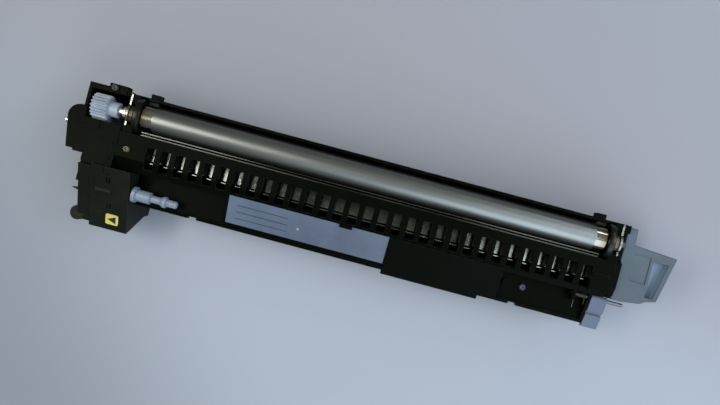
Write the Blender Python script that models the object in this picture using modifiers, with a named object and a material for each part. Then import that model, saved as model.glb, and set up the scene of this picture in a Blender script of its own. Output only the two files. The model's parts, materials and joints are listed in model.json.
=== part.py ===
"""Developer unit of a colour copier: trough, slotted cover, magnetic roller, augers and gear train.

Blender 4.5, metres, +Z up. X runs along the roller from the gear end to the handle, +Y points to
the roller side, and Z = 0 is the underside of the slide rails that the unit rests on.
"""

import math

import bmesh
import bpy
from mathutils import Matrix

# Clearances
GAP = 0.0003
RUNNING = 0.0002
SLEEVE_CLEARANCE = 0.0026
SCREW_R = 0.0013
SCREW_HEAD_R = 0.0026
SCREW_HEAD_HEIGHT = 0.0017
SCREW_CROWN_R = 0.0018
SCREW_LENGTH = 0.0070

# Magnetic roller
SLEEVE_LENGTH = 0.318
SLEEVE_R = 0.009
SLEEVE_WALL = 0.0008
SLEEVE_Y = 0.024
SLEEVE_Z = 0.047
JOURNAL_R = 0.0035
DRIVE_SHAFT_R = 0.0030
MAGNET_SHAFT_R = 0.002
MAGNET_END_GAP = 0.009
MAGNET_AIR_GAP = 0.0008
FLANGE_PLUG = 0.006
TRACKING_R = 0.0122
TRACKING_WIDTH = 0.0042
BEARING_R = 0.0065
BEARING_LENGTH = 0.0058
CLIP_WIDTH = 0.0012
CLIP_THICKNESS = 0.0008
CLIP_INSET = 0.0050
CLIP_Y = (0.0157, 0.0370)
SEAL_WIDTH = 0.006
COLLAR_R = 0.0048
COLLAR_WIDTH = 0.0018
HUB_R = 0.0052
HUB_LENGTH = 0.0065

# Gear train
MODULE = 0.0008
PRESSURE_ANGLE = math.radians(20)
BACKLASH = 0.00012
FLANK_POINTS = 3
SLEEVE_TEETH = 19
IDLER_TEETH = 20
AUGER_TEETH = 32
SLEEVE_GEAR_WIDTH = 0.0105
IDLER_WIDTH = 0.009
AUGER_GEAR_WIDTH = 0.008
IDLER_PIN_R = 0.002
HUB_STANDOFF = 0.0041

# Augers
AUGER_Z = 0.020
AUGER_SHAFT_R = 0.003
AUGER_CLEARANCE = 0.001
AUGER_BLADE = 0.0014
AUGER_TURNS = 12
AUGER_STEPS = 10
CHANNEL_R = 0.0102
PARTITION_TOP = 0.031
PARTITION_EDGE = 0.002
BUSH_R = 0.005
BUSH_FLANGE_R = 0.0064
BUSH_FLANGE = 0.0012

# Lower housing
WALL = 0.0018
END_WALL = 0.0068
END_WALL_TOP = 0.051
RIM_TOP = 0.050
LEDGE_Z = 0.034
FLANGE_DEPTH = 0.0022
FRONT_Y = -0.0348
RAIL_WIDTH = 0.003
SIDE_RAIL_Y = 0.0205
KEEL_WIDTH = 0.006
CROSS_RIBS = 7
CROSS_RIB_PITCH = 0.044
GUSSETS = 10
GUSSET_PITCH = 0.030
RIB = 0.0015
LUG_SIZE = (0.0065, 0.003, 0.006)
LUG_INSETS = (0.0098, 0.0108)
THROAT_INSETS = (0.0013, 0.0053)
THROAT_Z = (0.0234, 0.0320)
CORNER_Y = -0.0132
SCREW_BOSS_R = 0.0032
SCREW_BOSS_DEPTH = 0.012

# Slotted cover
COVER_TOP = 0.052
COVER_WALL = 0.002
COVER_BACK_Y = 0.0114
COVER_BEND_Y = -0.005
COVER_STEP_Y = -0.0108
COVER_STEP_Z = 0.0485
SLOPE_TOP_Z = 0.0462
SLOPE_FRONT_Z = 0.037
SLOT_PITCH = 0.010
SLOT_END = 0.008
SLOT_WIDTH = 0.0062
SLOT_BACK_Y = 0.0052
SLOT_FRONT_Y = -0.0098
SLOT_ROW_X = 0.0025
TRAY_FLOOR = 0.0017
TRAY_INSETS = (0.0088, 0.0030)
TRAY_GAPS = (0.0013, 0.0010)
TRAY_BACK_Y = -0.0135
TRAY_FRONT_Y = -0.0325
TRAY_SCREW_PLACE = (0.0178, 0.0018)
TRAY_BOSS_PLACE = 0.005
BOSS_R = 0.0022
BOSS_HEIGHT = 0.0030
PIN_RIB_INSET = 0.0118
PIN_RIB_DEPTH = 0.0045
HOOK_X = (-0.0144, -0.0056)
HOOK_REACH = 0.0019
HOOK_THICKNESS = 0.0013
COVER_SCREW_PLACE = (0.0002, 0.0006)
END_PAD_INSETS = (0.0078, -0.0042)
END_PAD_BACK_Y = 0.0012
END_PAD_RISE = 0.0006
NOTCHES_X = (-0.1142, 0.1137)
NOTCH_WIDTH = 0.0060
NOTCH_DEPTH = 0.0016

# Sheet pieces behind the roller and under the slots
BLADE_INSET = 0.001
BLADE_THICKNESS = 0.0007
BLADE_SPACING = 0.0011
BLADE_TOP = 0.0505
BACKING_THICKNESS = 0.0008
BACKING_TOP = 0.0497
SHEET_FOOT_Z = 0.036
SLOT_PLATE_THICKNESS = 0.0006
SLOT_PLATE_Z = 0.0425
SLOT_PLATE_LIP = 0.003
SLOT_PLATE_FOLD_Y = -0.0038

# Front slope pieces
NOTE_PLATE_X = (-0.0907, 0.0204)
NOTE_PLATE_Y = (-0.0302, -0.0113)
NOTE_PLATE_THICKNESS = 0.0010
RAISED_COVER_X = (0.0208, 0.1000)
RAISED_COVER_WALL = 0.0023
RAISED_COVER_SKIRT = 0.0045
RAISED_SKIRT_SHORT = 0.0115

# Gear case
CASE_WALL = 0.002
CASE_END_GAP = 0.0031
CASE_TOP = 0.0522
CASE_BACK_Y = 0.0382
CASE_FRONT_Y = -0.0137
CASE_CORNER = (0.0070, -0.0092)
CASE_FLOOR = 0.0036
CASE_OPEN_Y = (0.0148, 0.0348)
CASE_STEP = 0.001
CASE_CLEARANCE = 0.0005
CASE_SHELF_Z = 0.0362
CASE_NOSE_Y = (-0.0078, 0.0220)
CASE_LUG_REACHES = (0.0144, 0.0024)
CASE_LUG_Y = (0.0339, 0.0406)
CASE_LUG_DEPTH = 0.008
CASE_SCREW_PLACE = (0.0104, 0.0380)
CASE_PANEL_Y = (-0.0095, 0.0030)
CASE_RIDGE_Y = 0.0085
NOSE_TAPER = 0.0040
NOSE_CORNER_R = 0.0082
NOSE_REACH = 0.0093
PIN_TIP = 0.0068

# Inlet block
BLOCK_INSET = 0.0078
BLOCK_REACH = 0.0214
BLOCK_SEAM_REACH = 0.0120
BLOCK_TOP = 0.0555
BLOCK_NOSE = (-0.0567, 0.0345)
BLOCK_CHIN = (-0.0448, 0.0080)
BLOCK_FOOT_Y = -0.0442
BLOCK_BACK_Y = -0.0292
BLOCK_WALL = 0.002
BLOCK_STEP = 0.0018
ROUND_LUG = (-0.0505, 0.0325)
ROUND_LUG_R = 0.0050
POINTED_LUG_Y = (-0.0375, -0.0315)
POINTED_LUG_REACH = 0.010
POINTED_LUG_Z = (0.0240, 0.0320)
MOUTH_REACHES = (0.0154, 0.0054)
MOUTH_HEIGHT = 0.013
SHUTTER_THICKNESS = 0.0014
SHUTTER_LAP = 0.0015
ARM_THICKNESS = 0.002
ARM_WIDTH = 0.003
ARM_HUB_R = 0.0034
ARM_BEND = (-0.0375, 0.0365)
ROD_Y = -0.0279
ROD_Z = 0.0425
ROD_STEM_R = 0.0020
ROD_NECK_R = 0.0025
ROD_BARREL_R = 0.00405
ROD_FLANGE_R = 0.0055
ROD_COLLAR_R = 0.00385
ROD_STANDOFF = 0.0010
ROD_LENGTHS = (0.0023, 0.0098, 0.0066, 0.0026, 0.0019, 0.0075)
ROD_SLOT = (0.0046, 0.0014, 0.0006)
SPRING_WIRE_R = 0.00025
SPRING_TURNS = 6
BLOCK_RECESS = (0.0164, -0.0172, 0.0052, 0.0050)
BLOCK_RECESS_DEPTH = 0.0012
BLOCK_SLITS = ((0.0146, -0.0228), (0.0134, -0.0402))
SLIT_SIZE = (0.0010, 0.0048)
BLOCK_GROOVES = ((0.0241, -0.0300, 0.0008, 0.0120), (0.0225, -0.0450, 0.0075, 0.0007))
BLOCK_SWELL = (0.0175, -0.0310, 0.0110, 0.0030)
SWELL_RISE = 0.0011
SHOULDER_Y = -0.0215
MARK_PLACE = (0.0102, -0.0487)
MARK_SIZE = (0.0088, 0.0080)
MARK_THICKNESS = 0.0005

# Handle end
PLATE_THICKNESS = 0.0032
PLATE_NOTCH_Z = 0.0465
PLATE_CORNER_Y = 0.032
PLATE_SCREW_Y = 0.015
PLATE_SCREW_Z = 0.007
HANDLE_TOP = 0.0465
HANDLE_FOOT = 0.0120
HANDLE_STRIP = 0.0069
HANDLE_BACK_Y = 0.0368
HANDLE_FRONT_Y = -0.0133
HANDLE_PANEL_Y = (0.0020, 0.0205)
PANEL_DEPTH = 0.0006
EDGE_ROUND = 0.0008
GRIP_BACK_Y = 0.026
GRIP_BACK_PLACE = (0.0371, 0.0240)
GRIP_FRONT_PLACE = (0.0304, -0.0076)
POCKET_PLACE = 0.0216
GRIP_WALL = 0.0035
GRIP_FLOOR = 0.0400
POCKET_MARGINS = (0.0056, 0.0012)
LEVER_PIN_R = 0.00125
LEVER_PIN_Y = -0.0159
LEVER_PIN_Z = 0.0415
LEVER_PIN_REACH = 0.011
LEVER_WIDTH = 0.0108
LEVER_PROUD = 0.0009
LEVER_GROOVE = 0.0015
LEVER_LEGS = (0.010, 0.006)
LEVER_SPRING_TURNS = 7

# Sensor under the mixing channel
SENSOR_X = (-0.040, -0.016)
SENSOR_MARGIN = 0.001
SENSOR_HEIGHT = 0.0057

# Values worked out from the sizes above
HALF_SLEEVE = SLEEVE_LENGTH / 2
INNER_X = HALF_SLEEVE + TRACKING_WIDTH + 2 * GAP
OUTER_X = INNER_X + END_WALL
AUGER_Y = MODULE * AUGER_TEETH / 2
AUGER_BLADE_R = CHANNEL_R - AUGER_CLEARANCE
AUGER_PITCH = SLEEVE_LENGTH / AUGER_TURNS
CRADLE_R = SLEEVE_R + SLEEVE_CLEARANCE
BACK_Y = SLEEVE_Y + CRADLE_R + WALL
FRONT_WALL_Y = -AUGER_Y - CHANNEL_R - WALL
PLATE_X = OUTER_X + GAP
HANDLE_X = PLATE_X + PLATE_THICKNESS + GAP
ROLLER_X = (HALF_SLEEVE + GAP, HALF_SLEEVE + GAP + TRACKING_WIDTH)
BEARING_X = (INNER_X + GAP / 3, INNER_X + GAP / 3 + BEARING_LENGTH)
CLIP_X = INNER_X + CLIP_INSET
GEAR_FACE_X = -OUTER_X - COLLAR_WIDTH - HUB_STANDOFF - HUB_LENGTH - SLEEVE_GEAR_WIDTH
BACKING_Y = (COVER_BACK_Y + GAP, COVER_BACK_Y + GAP + BACKING_THICKNESS)
BLADE_Y = (BACKING_Y[1] + BLADE_SPACING, BACKING_Y[1] + BLADE_SPACING + BLADE_THICKNESS)
BLADE_LENGTH = SLEEVE_LENGTH - 2 * BLADE_INSET
SCREW_HOLE_R = SCREW_R + RUNNING

# Places along the housing, from its end walls
LUGS_X = (LUG_INSETS[0] - INNER_X, INNER_X - LUG_INSETS[1])
THROAT_X = (THROAT_INSETS[0] - INNER_X, THROAT_INSETS[1] - INNER_X)
SLOT_COUNT = int((SLEEVE_LENGTH - 2 * SLOT_END) / SLOT_PITCH) + 1
LEFT_TRAY = (TRAY_INSETS[0] - INNER_X, NOTE_PLATE_X[0] - TRAY_GAPS[0])
RIGHT_TRAY = (RAISED_COVER_X[1] + TRAY_GAPS[1], INNER_X - TRAY_INSETS[1])
TRAY_SCREW = (RAISED_COVER_X[1] + TRAY_SCREW_PLACE[0], FRONT_WALL_Y + WALL + TRAY_SCREW_PLACE[1])
TRAY_BOSS_X = RAISED_COVER_X[1] + TRAY_BOSS_PLACE
PIN_RIB_X = INNER_X - PIN_RIB_INSET
COVER_SCREW = (COVER_SCREW_PLACE[0] - INNER_X, COVER_SCREW_PLACE[1])
END_PAD_X = (INNER_X - END_PAD_INSETS[0], INNER_X - END_PAD_INSETS[1])

# Places at the gear end, from the left end wall
CASE_LEFT_X = GEAR_FACE_X - CASE_END_GAP - CASE_WALL
CASE_LUG_X = (-OUTER_X - CASE_LUG_REACHES[0], -OUTER_X - CASE_LUG_REACHES[1])
CASE_SCREW = (-OUTER_X - CASE_SCREW_PLACE[0], CASE_SCREW_PLACE[1])
NOSE_LEFT_X = CASE_LEFT_X - NOSE_REACH
BLOCK_RIGHT_X = BLOCK_INSET - INNER_X
BLOCK_LEFT_X = -OUTER_X - BLOCK_REACH
BLOCK_SEAM_X = -OUTER_X - BLOCK_SEAM_REACH
MOUTH_X = (-OUTER_X - MOUTH_REACHES[0], -OUTER_X - MOUTH_REACHES[1])
SHUTTER_X = (MOUTH_X[0] - SHUTTER_LAP, MOUTH_X[1] + SHUTTER_LAP)
SHUTTER_IN = BLOCK_WALL + BLOCK_STEP + GAP + SHUTTER_THICKNESS / 2

# Places at the handle end, from the end plate
GRIP_BACK_CORNER = (HANDLE_X + GRIP_BACK_PLACE[0], GRIP_BACK_PLACE[1])
GRIP_FRONT_CORNER = (HANDLE_X + GRIP_FRONT_PLACE[0], GRIP_FRONT_PLACE[1])
POCKET_LEFT_X = HANDLE_X + POCKET_PLACE


def clear_scene():
    for obj in list(bpy.data.objects):
        bpy.data.objects.remove(obj, do_unlink=True)


def new_collection(name):
    collection = bpy.data.collections.new(name)
    bpy.context.scene.collection.children.link(collection)
    return collection


def new_material(name, colour, roughness, metallic=0.0):
    material = bpy.data.materials.new(name)
    material.use_nodes = True
    surface = material.node_tree.nodes["Principled BSDF"]
    surface.inputs["Base Color"].default_value = (*colour, 1)
    surface.inputs["Roughness"].default_value = roughness
    surface.inputs["Metallic"].default_value = metallic
    material.diffuse_color = (*colour, 1)
    return material


clear_scene()
UNIT = new_collection("developer_unit")
CUTTERS = new_collection("cutters")
BLACK = new_material("black_plastic", (0.025, 0.027, 0.028), 0.45)
GREY = new_material("grey_plastic", (0.42, 0.45, 0.50), 0.42)
WHITE = new_material("white_acetal", (0.78, 0.80, 0.84), 0.35)
STEEL = new_material("steel", (0.62, 0.62, 0.60), 0.25, 1.0)
BLASTED = new_material("blasted_metal", (0.48, 0.49, 0.50), 0.55, 1.0)
BRASS = new_material("sintered_bronze", (0.45, 0.36, 0.20), 0.45, 1.0)
MAGNET = new_material("magnet", (0.06, 0.06, 0.065), 0.6)
FELT = new_material("felt", (0.16, 0.16, 0.17), 0.95)
YELLOW = new_material("yellow_mark", (0.85, 0.66, 0.10), 0.5)


def finished(obj, material, collection=None):
    """Links the object, gives it its material and shades its round faces smooth."""
    (collection or UNIT).objects.link(obj)
    obj.data.materials.clear()
    obj.data.materials.append(material or BLACK)
    obj.data.shade_smooth()
    obj.data.set_sharp_from_angle(angle=math.radians(35))
    return obj


def helper(obj):
    """Makes the object a cutter, or a lump that a Boolean joins to its owner."""
    for collection in list(obj.users_collection):
        collection.objects.unlink(obj)
    CUTTERS.objects.link(obj)
    obj.hide_render = True
    obj.display_type = "WIRE"
    return obj


def boolean(target, operation, tools):
    for tool in tools:
        modifier = target.modifiers.new(f"{operation.title()} {tool.name}", "BOOLEAN")
        modifier.operation = operation
        modifier.solver = "EXACT"
        modifier.object = helper(tool)
    return target


def join(target, *lumps):
    return boolean(target, "UNION", lumps)


def cut(target, *cutters):
    return boolean(target, "DIFFERENCE", cutters)


def soften(obj, width, segments=1):
    """Rounds the sharp edges; it comes before the Booleans."""
    bevel = obj.modifiers.new("Soften", "BEVEL")
    bevel.width = width
    bevel.segments = segments
    bevel.limit_method = "ANGLE"
    bevel.angle_limit = math.radians(40)
    return obj


def boxes(name, spans, material=None):
    """One object with a box for each (x, y, z) of low and high values."""
    shape = bmesh.new()
    for span in spans:
        corners = bmesh.ops.create_cube(shape, size=1)["verts"]
        size = [high - low for low, high in span]
        middle = [(high + low) / 2 for low, high in span]
        placed = Matrix.Translation(middle) @ Matrix.Diagonal((*size, 1))
        bmesh.ops.transform(shape, matrix=placed, verts=corners)
    mesh = bpy.data.meshes.new(name)
    shape.to_mesh(mesh)
    shape.free()
    return finished(bpy.data.objects.new(name, mesh), material)


def box(name, x, y, z, material=None):
    return boxes(name, [(x, y, z)], material)


def cylinder(name, axis, centre, radius, length, material=None, segments=24):
    """A cylinder along X, Y or Z, centred on a point."""
    shape = bmesh.new()
    bmesh.ops.create_cone(
        shape, cap_ends=True, segments=segments, radius1=radius, radius2=radius, depth=length
    )
    mesh = bpy.data.meshes.new(name)
    shape.to_mesh(mesh)
    shape.free()
    obj = finished(bpy.data.objects.new(name, mesh), material)
    turns = {"X": (0, math.pi / 2, 0), "Y": (math.pi / 2, 0, 0), "Z": (0, 0, 0)}
    obj.rotation_euler = turns[axis]
    obj.location = centre
    return obj


def prism(name, axis, outlines, low, high, material=None):
    """Outlines, the first solid and the rest holes, drawn out along X (from Y, Z) or Z (from X, Y)."""
    curve = bpy.data.curves.new(name, "CURVE")
    curve.dimensions = "2D"
    curve.fill_mode = "BOTH"
    curve.extrude = (high - low) / 2
    for outline in outlines:
        spline = curve.splines.new("POLY")
        spline.points.add(len(outline) - 1)
        spline.use_cyclic_u = True
        for point, (u, v) in zip(spline.points, outline):
            point.co = (u, v, 0, 1)
    drawn = bpy.data.objects.new(name + "_outline", curve)
    UNIT.objects.link(drawn)
    along_x = Matrix(((0, 0, 1, 0), (1, 0, 0, 0), (0, 1, 0, 0), (0, 0, 0, 1)))
    turn = along_x if axis == "X" else Matrix.Identity(4)
    drawn.matrix_world = turn @ Matrix.Translation((0, 0, (low + high) / 2))
    bpy.context.view_layer.update()
    graph = bpy.context.evaluated_depsgraph_get()
    mesh = bpy.data.meshes.new_from_object(drawn.evaluated_get(graph))
    shape = bmesh.new()
    shape.from_mesh(mesh)
    bmesh.ops.remove_doubles(shape, verts=shape.verts, dist=0.000001)
    bmesh.ops.dissolve_limit(
        shape, angle_limit=0.001, verts=shape.verts, edges=shape.edges
    )
    bmesh.ops.recalc_face_normals(shape, faces=shape.faces)
    shape.to_mesh(mesh)
    shape.free()
    obj = bpy.data.objects.new(name, mesh)
    obj.matrix_world = drawn.matrix_world
    bpy.data.objects.remove(drawn, do_unlink=True)
    return finished(obj, material)


def turned(name, profile, y, z, material=None, steps=24):
    """A profile of (x, radius) points turned about the line along X through (y, z)."""
    area = sum(
        a[0] * b[1] - b[0] * a[1] for a, b in zip(profile, profile[1:] + profile[:1])
    )
    ordered = profile if area > 0 else profile[::-1]
    mesh = bpy.data.meshes.new(name)
    count = len(ordered)
    edges = [
        (i, (i + 1) % count)
        for i in range(count)
        if ordered[i][1] > 0 or ordered[(i + 1) % count][1] > 0
    ]
    mesh.from_pydata([(x, r, 0) for x, r in ordered], edges, [])
    obj = finished(bpy.data.objects.new(name, mesh), material)
    obj.location = (0, y, z)
    screw = obj.modifiers.new("Turn", "SCREW")
    screw.axis = "X"
    screw.steps = screw.render_steps = steps
    screw.use_merge_vertices = True
    screw.merge_threshold = 0.00001
    screw.use_normal_calculate = False
    screw.use_smooth_shade = True
    return obj


def stepped(spans):
    """The profile of a solid shaft from (x0, x1, radius) lengths that follow each other."""
    outer = [(x, radius) for x0, x1, radius in spans for x in (x0, x1)]
    return [(spans[0][0], 0)] + outer + [(spans[-1][1], 0)]


def ring(x0, x1, inner, outer):
    return [(x0, inner), (x1, inner), (x1, outer), (x0, outer)]


def arc(centre, radius, start, end, steps):
    """Points on an arc in a plane, with the angles in degrees."""
    return [
        (
            centre[0] + radius * math.cos(math.radians(start + (end - start) * i / steps)),
            centre[1] + radius * math.sin(math.radians(start + (end - start) * i / steps)),
        )
        for i in range(steps + 1)
    ]


def circle(centre, radius, steps=24):
    return arc(centre, radius, 0, 360, steps)[:-1]


def inset(outline, distance):
    """The outline moved inwards by the same distance along every side."""
    area = sum(
        a[0] * b[1] - b[0] * a[1] for a, b in zip(outline, outline[1:] + outline[:1])
    )
    inward = distance if area > 0 else -distance
    sides = []
    for a, b in zip(outline, outline[1:] + outline[:1]):
        length = math.hypot(b[0] - a[0], b[1] - a[1])
        along = ((b[0] - a[0]) / length, (b[1] - a[1]) / length)
        sides.append(((a[0] - along[1] * inward, a[1] + along[0] * inward), along))
    moved = []
    for (p, u), (q, v) in zip(sides[-1:] + sides[:-1], sides):
        cross = u[0] * v[1] - u[1] * v[0]
        reach = ((q[0] - p[0]) * v[1] - (q[1] - p[1]) * v[0]) / cross
        moved.append((p[0] + u[0] * reach, p[1] + u[1] * reach))
    return moved


def hang(name, place, *pieces):
    """Puts an empty on a joint's axis and parents the moving pieces to it where they are."""
    empty = bpy.data.objects.new(name, None)
    empty.location = place
    empty.empty_display_size = 0.01
    UNIT.objects.link(empty)
    for piece in pieces:
        piece.parent = empty
        piece.matrix_parent_inverse = Matrix.Translation(place).inverted()


def screw(name, place, axis, length):
    """A screw whose pan head sits on a point and faces up or towards +X, with a cross recess."""
    head = SCREW_HEAD_HEIGHT
    drive = SCREW_R / 2
    profile = [(-length, 0), (-length, SCREW_R), (0, SCREW_R), (0, SCREW_HEAD_R)]
    profile += [(head / 2, SCREW_HEAD_R), (head, SCREW_CROWN_R), (head, 0)]
    obj = turned(name, profile, 0, 0, STEEL, 16)
    recess = (head / 2, head * 2)
    across = (-SCREW_R, SCREW_R)
    narrow = (-drive / 2, drive / 2)
    bars = [box(f"{name}_bar_a", recess, across, narrow), box(f"{name}_bar_b", recess, narrow, across)]
    turn = Matrix.Rotation(-math.pi / 2, 4, "Y") if axis == "Z" else Matrix.Identity(4)
    for piece in (obj, *bars):
        piece.matrix_world = Matrix.Translation(place) @ turn
    return cut(obj, *bars)


def strip(path, width):
    """The outline of a band of one width that follows a path."""
    left, right = [], []
    for i, (u, v) in enumerate(path):
        before = path[max(i - 1, 0)]
        after = path[min(i + 1, len(path) - 1)]
        length = math.hypot(after[0] - before[0], after[1] - before[1])
        across = (-(after[1] - before[1]) / length, (after[0] - before[0]) / length)
        left.append((u + across[0] * width / 2, v + across[1] * width / 2))
        right.append((u - across[0] * width / 2, v - across[1] * width / 2))
    return left + right[::-1]


def slope_z(y, above=0.0):
    """Height of the cover's front slope, or of a surface that lies a distance above it."""
    fall = (SLOPE_TOP_Z - SLOPE_FRONT_Z) / (COVER_STEP_Y - FRONT_Y)
    return SLOPE_FRONT_Z + (y - FRONT_Y) * fall + above * math.hypot(1, fall)


def below_channel(y):
    """Angle in degrees at which a channel's outer wall stands over the distance y from its centre."""
    return -math.degrees(math.acos(y / (CHANNEL_R + WALL)))


def trough_section():
    """The open double channel with the roller's cradle, its rails and its front flange."""
    shell = CHANNEL_R + WALL
    supply = (AUGER_Y, AUGER_Z)
    mixing = (-AUGER_Y, AUGER_Z)
    sleeve = (SLEEVE_Y, SLEEVE_Z)
    rail_in = SIDE_RAIL_Y - RAIL_WIDTH / 2
    rail_out = SIDE_RAIL_Y + RAIL_WIDTH / 2
    keel = KEEL_WIDTH / 2
    to_rail_out = below_channel(rail_out - AUGER_Y)
    to_rail_in = below_channel(rail_in - AUGER_Y)
    to_keel = below_channel(keel - AUGER_Y)
    outside = [(BACK_Y, RIM_TOP)]
    outside += arc(sleeve, CRADLE_R + WALL, 0, -55, 6)
    outside += arc(supply, shell, 20, to_rail_out, 4)
    outside += [(rail_out, 0), (rail_in, 0)]
    outside += arc(supply, shell, to_rail_in, to_keel, 6)
    outside += [(keel, 0), (-keel, 0)]
    outside += arc(mixing, shell, -180 - to_keel, -180 - to_rail_in, 6)
    outside += [(-rail_in, 0), (-rail_out, 0)]
    outside += arc(mixing, shell, -180 - to_rail_out, -180, 3)
    outside += [(FRONT_WALL_Y, LEDGE_Z - 2 * FLANGE_DEPTH), (FRONT_Y, LEDGE_Z - FLANGE_DEPTH)]
    inside = [(FRONT_Y, LEDGE_Z), (FRONT_WALL_Y + WALL, LEDGE_Z)]
    inside += arc(mixing, CHANNEL_R, -180, 0, 10)
    inside += [(-PARTITION_EDGE / 2, PARTITION_TOP), (PARTITION_EDGE / 2, PARTITION_TOP)]
    inside += arc(supply, CHANNEL_R, -180, 20, 11)
    inside += arc(sleeve, CRADLE_R, -65, 0, 6)
    inside += [(BACK_Y - WALL, RIM_TOP)]
    return outside + inside


def end_outline():
    """The underside that the end walls and the end plate share, from the back rim round to the front."""
    shell = CHANNEL_R + WALL
    rail_out = SIDE_RAIL_Y + RAIL_WIDTH / 2
    to_rail = below_channel(rail_out - AUGER_Y)
    outline = arc((SLEEVE_Y, SLEEVE_Z), CRADLE_R + WALL, 0, -55, 6)
    outline += arc((AUGER_Y, AUGER_Z), shell, 20, to_rail, 4)
    outline += [(rail_out, 0), (-rail_out, 0)]
    outline += arc((-AUGER_Y, AUGER_Z), shell, -180 - to_rail, -180, 3)
    return outline + [(FRONT_WALL_Y, LEDGE_Z), (CORNER_Y, LEDGE_Z)]


def end_wall_section():
    """The wall that closes the trough, with the bearing's saddle and the bores for the auger bushes."""
    saddle = BEARING_R + GAP
    under = COVER_TOP - COVER_WALL - GAP
    step_in = COVER_STEP_Y + COVER_WALL
    outline = [(BACK_Y, END_WALL_TOP)] + end_outline()
    outline += [
        (CORNER_Y, slope_z(CORNER_Y, -COVER_WALL) - GAP),
        (step_in + GAP, slope_z(step_in, -COVER_WALL) - GAP),
        (step_in + GAP, COVER_STEP_Z - COVER_WALL / 2 - GAP),
        (COVER_BEND_Y, under),
        (COVER_BACK_Y + GAP, under),
        (COVER_BACK_Y + GAP, END_WALL_TOP),
        (SLEEVE_Y - saddle, END_WALL_TOP),
    ]
    outline += arc((SLEEVE_Y, SLEEVE_Z), saddle, -180, 0, 12)
    outline += [(SLEEVE_Y + saddle, END_WALL_TOP)]
    bores = [circle((side * AUGER_Y, AUGER_Z), BUSH_R + GAP) for side in (-1, 1)]
    return [outline] + bores


def spread(count, pitch):
    """Positions at an even pitch on both sides of the middle."""
    return [(i - (count - 1) / 2) * pitch for i in range(count)]


def lower_housing():
    seam = WALL / 2
    trough = prism(
        "lower_housing", "X", [trough_section()], -INNER_X - seam, INNER_X + seam, BLACK
    )
    walls = [
        prism("wall_left", "X", end_wall_section(), -OUTER_X, -INNER_X),
        prism("wall_right", "X", end_wall_section(), INNER_X, OUTER_X),
    ]
    lug_x, lug_y, lug_z = LUG_SIZE
    lugs = boxes(
        "rim_lugs",
        [
            (
                (x - lug_x / 2, x + lug_x / 2),
                (BACK_Y - WALL / 2, BACK_Y + lug_y),
                (RIM_TOP - lug_z, RIM_TOP + GAP),
            )
            for x in LUGS_X
        ],
    )
    rib_top = AUGER_Z - CHANNEL_R - WALL / 2
    ribs = boxes(
        "cross_ribs",
        [
            ((x - RIB / 2, x + RIB / 2), (-SIDE_RAIL_Y, SIDE_RAIL_Y), (RIB, rib_top))
            for x in spread(CROSS_RIBS, CROSS_RIB_PITCH)
        ],
    )
    lip = FLANGE_DEPTH / 2
    gusset = [
        (FRONT_WALL_Y + WALL / 2, AUGER_Z),
        (FRONT_WALL_Y + WALL / 2, LEDGE_Z - lip),
        (FRONT_Y + lip, LEDGE_Z - lip),
    ]
    first = -GUSSET_PITCH * (GUSSETS - 1) / 2
    gussets = prism("gussets", "X", [gusset], first - RIB / 2, first + RIB / 2)
    row = gussets.modifiers.new("Row", "ARRAY")
    row.count = GUSSETS
    row.use_relative_offset = False
    row.use_constant_offset = True
    row.constant_offset_displace = (0, 0, GUSSET_PITCH)
    boss_z = COVER_TOP - COVER_WALL - GAP - SCREW_BOSS_DEPTH / 2
    boss = cylinder(
        "cover_screw_boss", "Z", (*COVER_SCREW, boss_z), SCREW_BOSS_R, SCREW_BOSS_DEPTH, segments=16
    )
    join(trough, *walls, lugs, ribs, gussets, boss)
    flange_end = box(
        "flange_end_cut",
        (-OUTER_X - WALL, BLOCK_RIGHT_X + GAP),
        (FRONT_Y - WALL, FRONT_WALL_Y + WALL / 8),
        (-WALL, LEDGE_Z + WALL),
    )
    throat = box("throat_cut", THROAT_X, (FRONT_WALL_Y - WALL, FRONT_WALL_Y + 2 * WALL), THROAT_Z)
    reliefs = [
        cylinder(
            f"roller_relief_{i}",
            "X",
            (side * (ROLLER_X[0] + ROLLER_X[1]) / 2, SLEEVE_Y, SLEEVE_Z),
            TRACKING_R + 2 * GAP,
            TRACKING_WIDTH + 2 * GAP,
            segments=48,
        )
        for i, side in enumerate((-1, 1))
    ]
    holes = [cover_screw_hole("boss_hole"), *plate_screw_holes("wall")]
    return cut(trough, flange_end, throat, *reliefs, edge_notches("flange_notches"), *holes)


def edge_notches(name):
    """The two notches that go through the cover's front edge and the housing's flange."""
    across = (FRONT_Y - NOTCH_DEPTH, FRONT_Y + NOTCH_DEPTH)
    spans = [((x - NOTCH_WIDTH / 2, x + NOTCH_WIDTH / 2), across, (0, COVER_TOP)) for x in NOTCHES_X]
    return boxes(name, spans)


def cover_screw_hole(name):
    depth = 2 * SCREW_LENGTH + 2 * COVER_WALL
    return cylinder(name, "Z", (*COVER_SCREW, COVER_TOP), SCREW_HOLE_R, depth, segments=16)


def plate_screw_holes(name):
    return [
        cylinder(
            f"{name}_screw_hole_{i}",
            "X",
            (PLATE_X, side * PLATE_SCREW_Y, PLATE_SCREW_Z),
            SCREW_HOLE_R,
            2 * END_WALL + 4 * WALL,
            segments=16,
        )
        for i, side in enumerate((-1, 1))
    ]


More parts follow.
